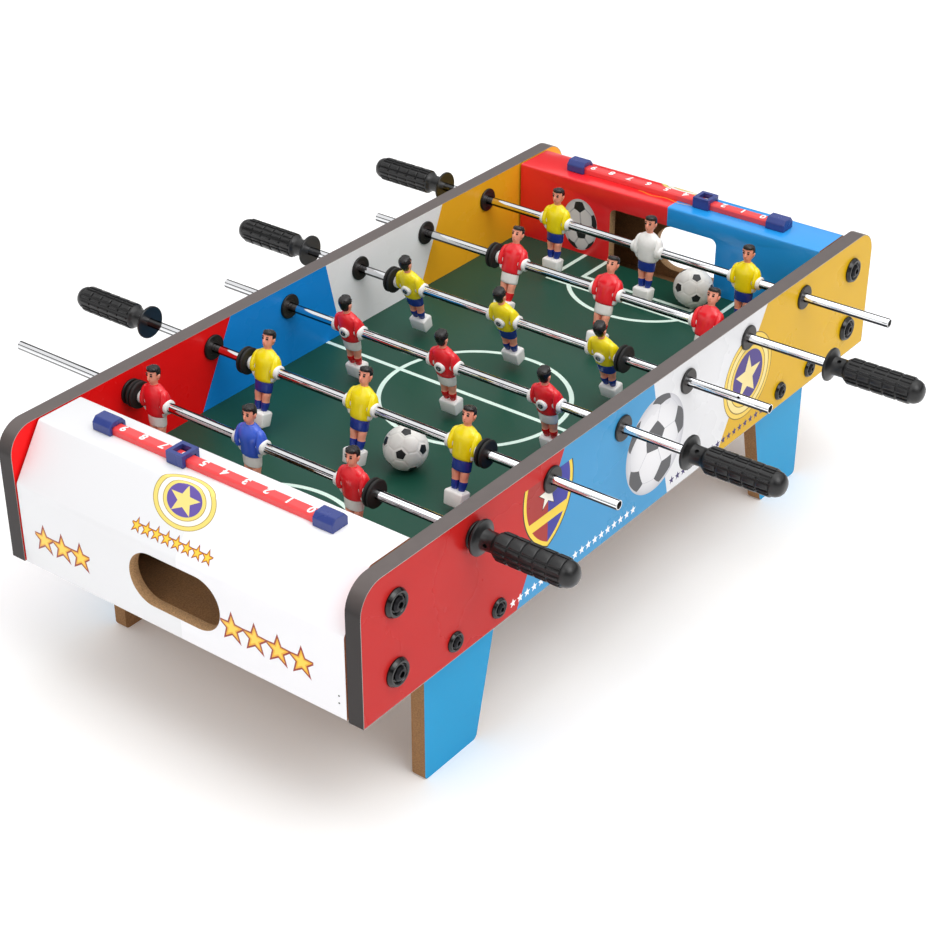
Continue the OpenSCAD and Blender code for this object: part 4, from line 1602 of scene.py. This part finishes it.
@dataclass
class Handle:
    """One moulded grip: a flange, a neck and a barrel covered with raised tiles.

    Attributes:
        flange: The flange's radius.
        barrel: The barrel's radius under its tiles.
        tile: The height of a tile.
        sides: How many facets go round the barrel.
        wide: The facets under a wide tile.
        narrow: The facets under a narrow tile.
        start: Where the tiles begin, from the flange's face.
        row: The length of one row of tiles with its groove.
        groove: The width of a groove round the barrel.
        hole: The radius of the fixing screw's hole.
    """

    flange: float = 13.5
    barrel: float = 9.55
    tile: float = 1.2
    sides: int = 58
    wide: int = 8
    narrow: int = 3
    start: float = 17.0
    row: float = 10.8
    groove: float = 0.9
    hole: float = 1.7

    @property
    def rows(self) -> list[Point]:
        """The stretches of the barrel that carry tiles."""
        lows = [self.start + n * self.row for n in range(5)]
        return [(low + self.groove, low + self.row) for low in lows]

    def tile_of(self, step: int) -> bool:
        """Tells whether facet number step lies under a tile and not in a groove."""
        half = self.sides // 2
        place = step % half
        if place < self.wide:
            return True
        place -= self.wide
        return place % (self.narrow + 1) != 0 and place < half - self.wide

    def build(self) -> Piece:
        """Lofts the barrel along Z, raises its tiles and hollows the screw hole."""
        rings = [
            Ring(0.0, 4.2, 4.2),
            Ring(0.0, self.flange - 0.5, self.flange - 0.5),
            Ring(0.5, self.flange, self.flange),
            Ring(1.7, self.flange, self.flange),
            Ring(2.2, self.flange - 0.5, self.flange - 0.5),
            Ring(2.4, self.flange - 1.4, self.flange - 1.4),
            Ring(3.4, 9.6, 9.6),
            Ring(4.6, 7.9, 7.9),
            Ring(6.4, 7.4, 7.4),
            Ring(13.4, 7.3, 7.3),
            Ring(14.6, 7.7, 7.7),
            Ring(16.0, self.barrel - 0.6, self.barrel - 0.6),
            Ring(self.start, self.barrel, self.barrel),
        ]
        for row in self.rows:
            rings += [Ring(z, self.barrel, self.barrel) for z in row]
        dome = ((72.0, 9.7), (74.6, 9.2), (77.2, 7.8), (79.0, 5.6), (79.8, 3.0), (80.0, 1.0))
        rings += [Ring(z, radius, radius) for z, radius in dome]
        grip = Bench.loft("grip_pattern", rings, self.sides)
        self.raise_tiles(grip)
        self.drill(grip)
        Bench.smooth(grip, 32)
        return grip

    def raise_tiles(self, grip: Piece) -> None:
        """Raises every tile as one patch, with sloping sides."""
        arc = 2 * math.pi / self.sides
        rows = self.rows

        def under_tile(centre: Vector, normal: Vector) -> bool:
            """Tells the faces that carry a tile."""
            step = math.floor((math.atan2(centre.y, centre.x) % (2 * math.pi)) / arc)
            in_row = any(low < centre.z < high for low, high in rows)
            return in_row and self.tile_of(step)

        Bench.pick(grip, under_tile)
        with Bench.editing(grip):
            bpy.ops.mesh.inset(thickness=0.16 * MM, use_boundary=True)
            for width, share in ((0.14, 0.6), (0.34, 0.26), (0.6, 0.14)):
                bpy.ops.mesh.inset(thickness=width * MM, depth=self.tile * share * MM)

    def drill(self, grip: Piece) -> None:
        """Bores the blind hole of the fixing screw into the neck."""
        Bench.clear()
        bpy.ops.mesh.primitive_cylinder_add(
            vertices=24,
            radius=self.hole * MM,
            depth=6 * MM,
            location=(0, 8 * MM, 9.5 * MM),
            rotation=(math.radians(90), 0, 0),
        )
        bit = bpy.context.object
        bpy.ops.object.transform_apply(location=True, rotation=True, scale=True)
        Bench.cut(grip, bit)


@dataclass
class Bumper:
    """A rubber buffer with two lobes.

    Attributes:
        radius: The radius of a lobe.
        length: The buffer's length along the rod.
    """

    radius: float = 11.0
    length: float = 6.6

    def build(self) -> Piece:
        """Lofts the buffer along Z."""
        r, l = self.radius, self.length
        rings = [
            Ring(0.0, 4.0, 4.0),
            Ring(0.0, r - 1.6, r - 1.6),
            Ring(0.25, r - 0.6, r - 0.6),
            Ring(0.9, r, r),
            Ring(l * 0.3, r, r),
            Ring(l * 0.4, r - 0.7, r - 0.7),
            Ring(l * 0.46, r - 2.4, r - 2.4),
            Ring(l * 0.54, r - 2.4, r - 2.4),
            Ring(l * 0.6, r - 0.7, r - 0.7),
            Ring(l * 0.7, r, r),
            Ring(l - 0.9, r, r),
            Ring(l - 0.25, r - 0.6, r - 0.6),
            Ring(l, r - 1.6, r - 1.6),
            Ring(l, 4.0, 4.0),
        ]
        made = Bench.loft("bumper_pattern", rings, 56)
        Bench.smooth(made, 40)
        return made


@dataclass
class RodSpec:
    """How one rod stands at rest.

    Attributes:
        number: The rod's number, from the near end.
        middle: Where the middle player stands across the field.
        handle: -1 for a handle at the front, 1 at the back.
        facing: The way the players face along X.
        tilt: Their tilt in degrees.
        bare: The distance from the players' middle to the bare end.
        grip: The distance from there to the handle.
        bumpers: Whether it has rubber buffers.
        kits: The kits of its three players, from the front.
        roll: The handle's turn about the rod, in degrees.
        pinhole: Whether a pin hole shows near the bare end.
    """

    number: int
    middle: float
    handle: int
    facing: int
    tilt: float
    bare: float
    grip: float
    bumpers: bool
    kits: tuple[Kit, Kit, Kit]
    roll: float = 0.0
    pinhole: bool = False

    @property
    def x(self) -> float:
        """Where the rod lies along the field."""
        return rod_x(self.number)


RED_ROW = (Kit.RED, Kit.RED, Kit.RED)
YELLOW_ROW = (Kit.YELLOW, Kit.YELLOW, Kit.YELLOW)
ROD_SPECS = (
    RodSpec(1, 33.3, -1, -1, 0, 246.5, 208, True, (Kit.RED, Kit.RED_KEEPER, Kit.RED), 88),
    RodSpec(2, 4.0, 1, -1, 13, 231, 222, True, YELLOW_ROW, -80),
    RodSpec(3, -4.8, -1, 1, 10, 231, 222, False, RED_ROW, 36),
    RodSpec(4, 4.2, 1, 1, 17, 246.5, 208, True, YELLOW_ROW, -70, True),
    RodSpec(5, -35.3, -1, -1, 17, 246.5, 208, True, RED_ROW, 28),
    RodSpec(6, -17.5, 1, -1, 5, 231, 222, False, (Kit.YELLOW, Kit.YELLOW_KEEPER, Kit.YELLOW), -92),
)


@dataclass
class Rods:
    """All six rods with everything on them.

    Attributes:
        pitch: The distance between players on a rod.
        tube: A tube's radius.
        wall: Its wall.
        pin_from_end: How far the pin hole lies from the bare end.
        figure: The pattern of the players.
        grip: The pattern of the handles.
        buffer: The pattern of the bumpers.
        screw: The pattern of the players' screws.
    """

    pitch: float = 97.0
    tube: float = 3.8
    wall: float = 0.9
    pin_from_end: float = 26.0
    figure: Piece = field(default_factory=lambda: Player().build())
    screw: Piece = field(default_factory=lambda: Player().screw())
    grip: Piece = field(default_factory=lambda: Handle().build())
    buffer: Piece = field(default_factory=lambda: Bumper().build())

    def build(self) -> None:
        """Sets out the repeated pieces on every rod and clears their patterns away."""
        for spec in ROD_SPECS:
            self.rod(spec)
        for pattern in (self.figure, self.grip, self.buffer, self.screw):
            bpy.data.objects.remove(pattern)

    def rod(self, spec: RodSpec) -> None:
        """Builds one rod."""
        self.tube_piece(spec)
        self.players(spec)
        self.handle(spec)
        if spec.bumpers:
            self.bumpers(spec)

    def tube_piece(self, spec: RodSpec) -> None:
        """Rolls the tube, its ends open and slightly eased."""
        low, high = box_mm(f"tube_{spec.number}")
        length = high.y - low.y
        Bench.clear()
        bpy.ops.mesh.primitive_cylinder_add(
            vertices=64,
            radius=self.tube * MM,
            depth=length * MM,
            end_fill_type="NOTHING",
            location=(spec.x * MM, (low.y + high.y) / 2 * MM, ROD_Z * MM),
            rotation=(math.radians(90), 0, 0),
        )
        tube = bpy.context.object
        tube.name = f"rod_{spec.number}_tube"
        Bench.settle(tube)
        Bench.modify(tube, "SOLIDIFY", thickness=self.wall * MM, offset=-1)
        Bench.ease(tube, 0.2, 2, 40)
        if spec.pinhole:
            self.pin(tube, spec)
        Bench.smooth(tube, 35)
        bore = self.tube - self.wall + 0.1

        def inner(centre: Vector, normal: Vector) -> int:
            """Tells the bore from the plated outside."""
            return int(math.hypot(centre.x - spec.x, centre.z - ROD_Z) < bore)

        Bench.dress(tube, [CHROMIUM_PLATE, BARE_STEEL_BORE], inner)
        Bench.deliver(tube, f"rod_{spec.number}", "chrome_tube", f"tube_{spec.number}")

    def pin(self, tube: Piece, spec: RodSpec) -> None:
        """Drills the pin hole near the bare end through one wall."""
        y = spec.middle - spec.handle * (spec.bare - self.pin_from_end)
        Bench.clear()
        bpy.ops.mesh.primitive_cylinder_add(vertices=20, radius=1.1 * MM, depth=4 * MM)
        bit = bpy.context.object
        turn = Matrix.Rotation(math.radians(-50), 4, "Y")
        out = Matrix.Translation((0, 0, self.tube * MM))
        bit.data.transform(shift(spec.x, y, ROD_Z) @ turn @ out)
        Bench.cut(tube, bit)

    def station(self, spec: RodSpec, n: int) -> Matrix:
        """Gives the place of one player of a rod."""
        lean = math.radians(spec.tilt) * (1 if spec.facing < 0 else -1)
        turn = Matrix.Rotation(lean, 4, "Y")
        face = Matrix.Rotation(math.pi if spec.facing < 0 else 0, 4, "Z")
        return shift(spec.x, spec.middle + n * self.pitch, ROD_Z) @ turn @ face

    def players(self, spec: RodSpec) -> None:
        """Sets three players and their screws on a rod."""
        team = f"team_{spec.number}"
        slot = "player_red" if spec.number % 2 else "player_yellow"
        screws = []
        for n, name in ((-1, "front"), (0, "middle"), (1, "back")):
            kit = spec.kits[n + 1]
            where = self.station(spec, n)
            made = Bench.copy(self.figure, f"player_{spec.number}_{name}", where)
            for number, paint in enumerate(player_finishes(kit)):
                made.data.materials[number] = paint.build()
            Bench.deliver(made, team, slot, f"players_{spec.number}")
            screws.append(Bench.copy(self.screw, "screw", where))
        set_of = Bench.join(f"player_screws_{spec.number}", screws)
        Bench.dress(set_of, [ZINC_PLATE])
        Bench.smooth(set_of, 30)
        Bench.deliver(set_of, team, "screw_steel", f"fixings_{spec.number}")

    def handle(self, spec: RodSpec) -> None:
        """Puts the handle on its end of the rod."""
        out = Matrix.Rotation(math.radians(90 if spec.handle < 0 else -90), 4, "X")
        roll = Matrix.Rotation(math.radians(spec.roll), 4, "Z")
        where = shift(spec.x, spec.middle + spec.handle * spec.grip, ROD_Z) @ out @ roll
        made = Bench.copy(self.grip, f"handle_grip_{spec.number}", where)
        Bench.dress(made, [GRIP_POLYPROPYLENE])
        Bench.deliver(made, f"team_{spec.number}", "grip_plastic", f"handle_{spec.number}")

    def bumpers(self, spec: RodSpec) -> None:
        """Puts a buffer outside each outer player."""
        start = self.pitch + 15.6
        pair = []
        for side in (-1, 1):
            out = Matrix.Rotation(math.radians(-90 * side), 4, "X")
            where = shift(spec.x, spec.middle + side * start, ROD_Z) @ out
            pair.append(Bench.copy(self.buffer, "buffer", where))
        made = Bench.join(f"rubber_bumpers_{spec.number}", pair)
        Bench.dress(made, [MOULDED_RUBBER])
        Bench.deliver(made, f"rod_{spec.number}", "bumper_rubber", f"bumpers_{spec.number}")


# ---------------------------------------------------------------- balls and counters


@dataclass
class Balls:
    """Two small footballs with sunk seams.

    Attributes:
        seam: The width of a seam.
        sink: Its depth.
        border: The white border round a black patch.
        reach: How far a seam's dip spreads, as a share of the gap between two panels.
        panels: The middles of all 32 panels.
    """

    seam: float = 0.5
    sink: float = 0.3
    border: float = 0.9
    reach: float = 0.045
    panels: list[Vector] = field(default_factory=list)

    def build(self) -> None:
        """Builds one ball and sets both out, each turned its own way."""
        pattern = self.pattern()
        for name, turn in (("near", (0.5, 0.9, 0.3)), ("far", (1.4, 0.2, 0.9))):
            low, high = box_mm(f"ball_{name}")
            middle = Matrix.Translation((low + high) / 2 * MM)
            spin = Matrix.Identity(4)
            for angle, axis in zip(turn, "XYZ"):
                spin = spin @ Matrix.Rotation(angle, 4, axis)
            made = Bench.copy(pattern, f"football_{name}", middle @ spin)
            Bench.deliver(made, f"ball_{name}", "ball_plastic", f"ball_{name}")
        bpy.data.objects.remove(pattern)

    def pattern(self) -> Piece:
        """Cuts an icosahedron's corners off, seams its 32 panels and blows it round."""
        low, high = box_mm("ball_near")
        radius = (high.z - low.z) / 2
        Bench.clear()
        bpy.ops.mesh.primitive_ico_sphere_add(subdivisions=1, radius=radius * MM)
        ball = bpy.context.object
        with Bench.editing(ball, "VERT"):
            bpy.ops.mesh.select_all(action="SELECT")
            bpy.ops.mesh.bevel(
                offset_type="PERCENT", offset_pct=33.333, affect="VERTICES", clamp_overlap=False
            )
            bpy.ops.mesh.remove_doubles(threshold=1e-5)
        ball.data.materials.append(BALL_WHITE.build())
        ball.data.materials.append(BALL_BLACK.build())
        for panel in ball.data.polygons:
            panel.material_index = int(len(panel.vertices) == 5)
        self.panels = [panel.center.copy() for panel in ball.data.polygons]
        with Bench.editing(ball):
            bpy.ops.mesh.select_all(action="SELECT")
            bpy.ops.mesh.inset(thickness=self.seam * MM, use_individual=True)
        Bench.pick(ball, lambda c, n: False)
        for panel in ball.data.polygons:
            panel.select = panel.material_index == 1 and len(panel.vertices) == 5
        with Bench.editing(ball):
            bpy.ops.mesh.inset(thickness=self.border * MM, use_individual=True)
        for panel in ball.data.polygons:
            if len(panel.vertices) < 5:
                panel.material_index = 0
        with Bench.editing(ball):
            bpy.ops.mesh.select_all(action="SELECT")
            bpy.ops.mesh.poke()
        Bench.modify(ball, "SUBSURF", levels=3, render_levels=3, subdivision_type="SIMPLE")
        self.blow(ball, radius)
        Bench.smooth(ball, 60)
        return ball

    def blow(self, ball: Piece, radius: float) -> None:
        """Pushes every point out to the ball's surface, the seams a little less."""
        for point in ball.data.vertices:
            way = point.co.normalized()
            share = sorted(way.dot(panel) / panel.length_squared for panel in self.panels)
            gap = (share[-1] - share[-2]) / share[-1]
            dip = self.sink * max(0.0, 1 - gap / self.reach)
            point.co = way * (radius - dip) * MM


@dataclass
class Counter:
    """One score counter: a numbered rail, two end blocks and a sliding frame.

    Attributes:
        end: "near" or "far".
        pitch: The distance between numbers.
        size: The height of a number.
    """

    end: str
    pitch: float = 19.6
    size: float = 7.6

    def build(self) -> None:
        """Eases the moulded parts and prints the numbers."""
        rail = Bench.eased(f"{self.end}_score_rail", f"{self.end}_number_rail", 0.3)
        Bench.dress(rail, [RAIL_POLYSTYRENE])
        Bench.deliver(rail, "table", "rail_red", f"{self.end}_score_rail")
        slider = Bench.eased(f"{self.end}_score_slider", f"{self.end}_counter", 0.5, 3)
        Bench.dress(slider, [COUNTER_POLYSTYRENE])
        Bench.deliver(slider, f"score_{self.end}", "counter_blue", f"{self.end}_score_slider")
        self.numbers()

    def numbers(self) -> None:
        """Sets the numbers 0 to 9 along the rail, read from the far side."""
        low, high = box_mm(f"{self.end}_score_rail")
        middle = (low.x + high.x) / 2
        made = []
        for value in range(10):
            letter = self.number(value)
            grow = self.size * MM / letter.dimensions.y
            scale = Matrix.Diagonal((grow, grow, 1, 1))
            turn = Matrix.Rotation(math.radians(90), 4, "Z")
            y = (value - 4.5) * self.pitch
            letter.data.transform(shift(middle, y, high.z + 0.07) @ turn @ scale)
            made.append(letter)
        numbers = Bench.join(f"{self.end}_rail_numbers", made)
        Bench.dress(numbers, [NUMBER_INK])
        Bench.deliver(numbers, "table", "rail_red")

    def number(self, value: int) -> Piece:
        """Prints one number as a thin raised shape at the frame's origin."""
        Bench.clear()
        bpy.ops.object.text_add(location=(0, 0, 0))
        letter = bpy.context.object
        letter.data.body = str(value)
        letter.data.size = self.size * MM
        letter.data.align_x = "CENTER"
        letter.data.align_y = "CENTER"
        letter.data.extrude = 0.06 * MM
        letter.data.offset = 0.24 * MM
        letter.data.resolution_u = 3
        Bench.hold(letter)
        bpy.ops.object.convert(target="MESH")
        return bpy.context.object


@dataclass
class CounterEnds:
    """The blue blocks that cap both rails."""

    def build(self) -> None:
        """Eases and dresses the blocks."""
        made = Bench.eased("score_ends", "rail_end_blocks", 0.7, 3)
        Bench.dress(made, [COUNTER_POLYSTYRENE])
        Bench.deliver(made, "table", "counter_blue", "score_ends")


# ---------------------------------------------------------------- studio


@dataclass
class Studio:
    """A plain pale floor, soft lights and the camera.

    Lengths and places here are in metres, as the studio's own tools take them.

    Attributes:
        ambient: The strength of the light from all round.
        ground: The length of the floor's side.
        lamps: Each soft box's name, place, size and power.
        focal: The lens's focal length in millimetres.
        eye: Where the camera stands, from the middle of the case.
        aim: How it is turned.
    """

    ambient: float = 0.95
    ground: float = 60.0
    lamps: tuple[tuple[str, tuple[float, float, float], float, float], ...] = (
        ("key_softbox", (-0.5, -1.8, 2.6), 1.6, 24.0),
        ("top_softbox", (0.2, -0.3, 2.4), 2.2, 20.0),
        ("side_softbox", (-2.2, 0.3, 1.9), 1.4, 9.0),
    )
    focal: float = 78.04
    eye: tuple[float, float, float] = (-1.12749, -0.85231, 0.93661)
    aim: tuple[float, float, float] = (1.0257, 0.0009, -0.9172)

    def build(self) -> None:
        """Sets up the whole studio."""
        self.floor()
        self.lights()
        self.world()
        self.camera()
        view = bpy.context.scene.view_settings
        view.view_transform = "Standard"
        view.look = "None"

    def floor(self) -> None:
        """Lays the floor."""
        Bench.clear()
        bpy.ops.mesh.primitive_plane_add(size=self.ground, location=(0, 0, 0))
        floor = bpy.context.object
        floor.name = "studio_floor"
        paper = bpy.data.materials.new("matt_white_paper")
        paper.use_nodes = True
        surface = paper.node_tree.nodes["Principled BSDF"]
        surface.inputs["Base Color"].default_value = linear("#FAFAFA")
        surface.inputs["Roughness"].default_value = 0.9
        surface.inputs["Emission Color"].default_value = linear("#FFFFFF")
        surface.inputs["Emission Strength"].default_value = 0.12
        floor.data.materials.append(paper)

    def lights(self) -> None:
        """Hangs the soft boxes."""
        for name, place, size, power in self.lamps:
            lamp = bpy.data.lights.new(name, "AREA")
            lamp.shape = "SQUARE"
            lamp.size = size
            lamp.energy = power
            holder = bpy.data.objects.new(name, lamp)
            bpy.context.scene.collection.objects.link(holder)
            holder.location = place
            aim = Vector((0, 0, 0.15)) - Vector(place)
            holder.rotation_euler = aim.to_track_quat("-Z", "Y").to_euler()

    def world(self) -> None:
        """Lights the room evenly, with two dark bands that the chrome picks up."""
        world = bpy.data.worlds.new("white_studio")
        bpy.context.scene.world = world
        world.use_nodes = True
        tree = world.node_tree
        tree.nodes.clear()
        place = add_node(tree, "ShaderNodeTexCoord").outputs["Generated"]
        parts = add_node(tree, "ShaderNodeSeparateXYZ", {0: place}).outputs
        room = Sheet(tree, place, Finish.plain(tree, "#FFFFFF"))
        ahead = room.reckon(parts[0], ("GREATER_THAN", 0.0))
        low = room.reckon(parts[2], ("COMPARE", 0.23, 0.14))
        room.paint(room.both(ahead, low), "#1C1C1E")
        flag = ("COMPARE", math.radians(147), math.radians(12))
        room.paint(room.reckon(parts[2], ("ARCTAN2", parts[0]), flag), "#0C0C0D")
        inputs = {"Color": room.colour, "Strength": self.ambient}
        back = add_node(tree, "ShaderNodeBackground", inputs)
        add_node(tree, "ShaderNodeOutputWorld", {"Surface": back.outputs[0]})

    def camera(self) -> None:
        """Places the camera."""
        lens = bpy.data.cameras.new("camera")
        lens.sensor_width = 36.0
        lens.lens = self.focal
        holder = bpy.data.objects.new("camera", lens)
        bpy.context.scene.collection.objects.link(holder)
        holder.location = Vector(self.eye) + Vector((0, CASE_Y * MM, 0))
        holder.rotation_euler = self.aim
        bpy.context.scene.camera = holder


def main() -> None:
    """Builds the table's looks, piece by piece."""
    logging.basicConfig(level=logging.INFO, format="%(message)s")
    SidePanels().build()
    Field().build()
    EndBox(-1).build()
    EndBox(1).build()
    BoxInsides().build()
    Legs().build()
    Screws().build()
    Bushings().build()
    Rods().build()
    Balls().build()
    Counter("near").build()
    Counter("far").build()
    CounterEnds().build()
    Studio().build()


if __name__ == "__main__":
    main()
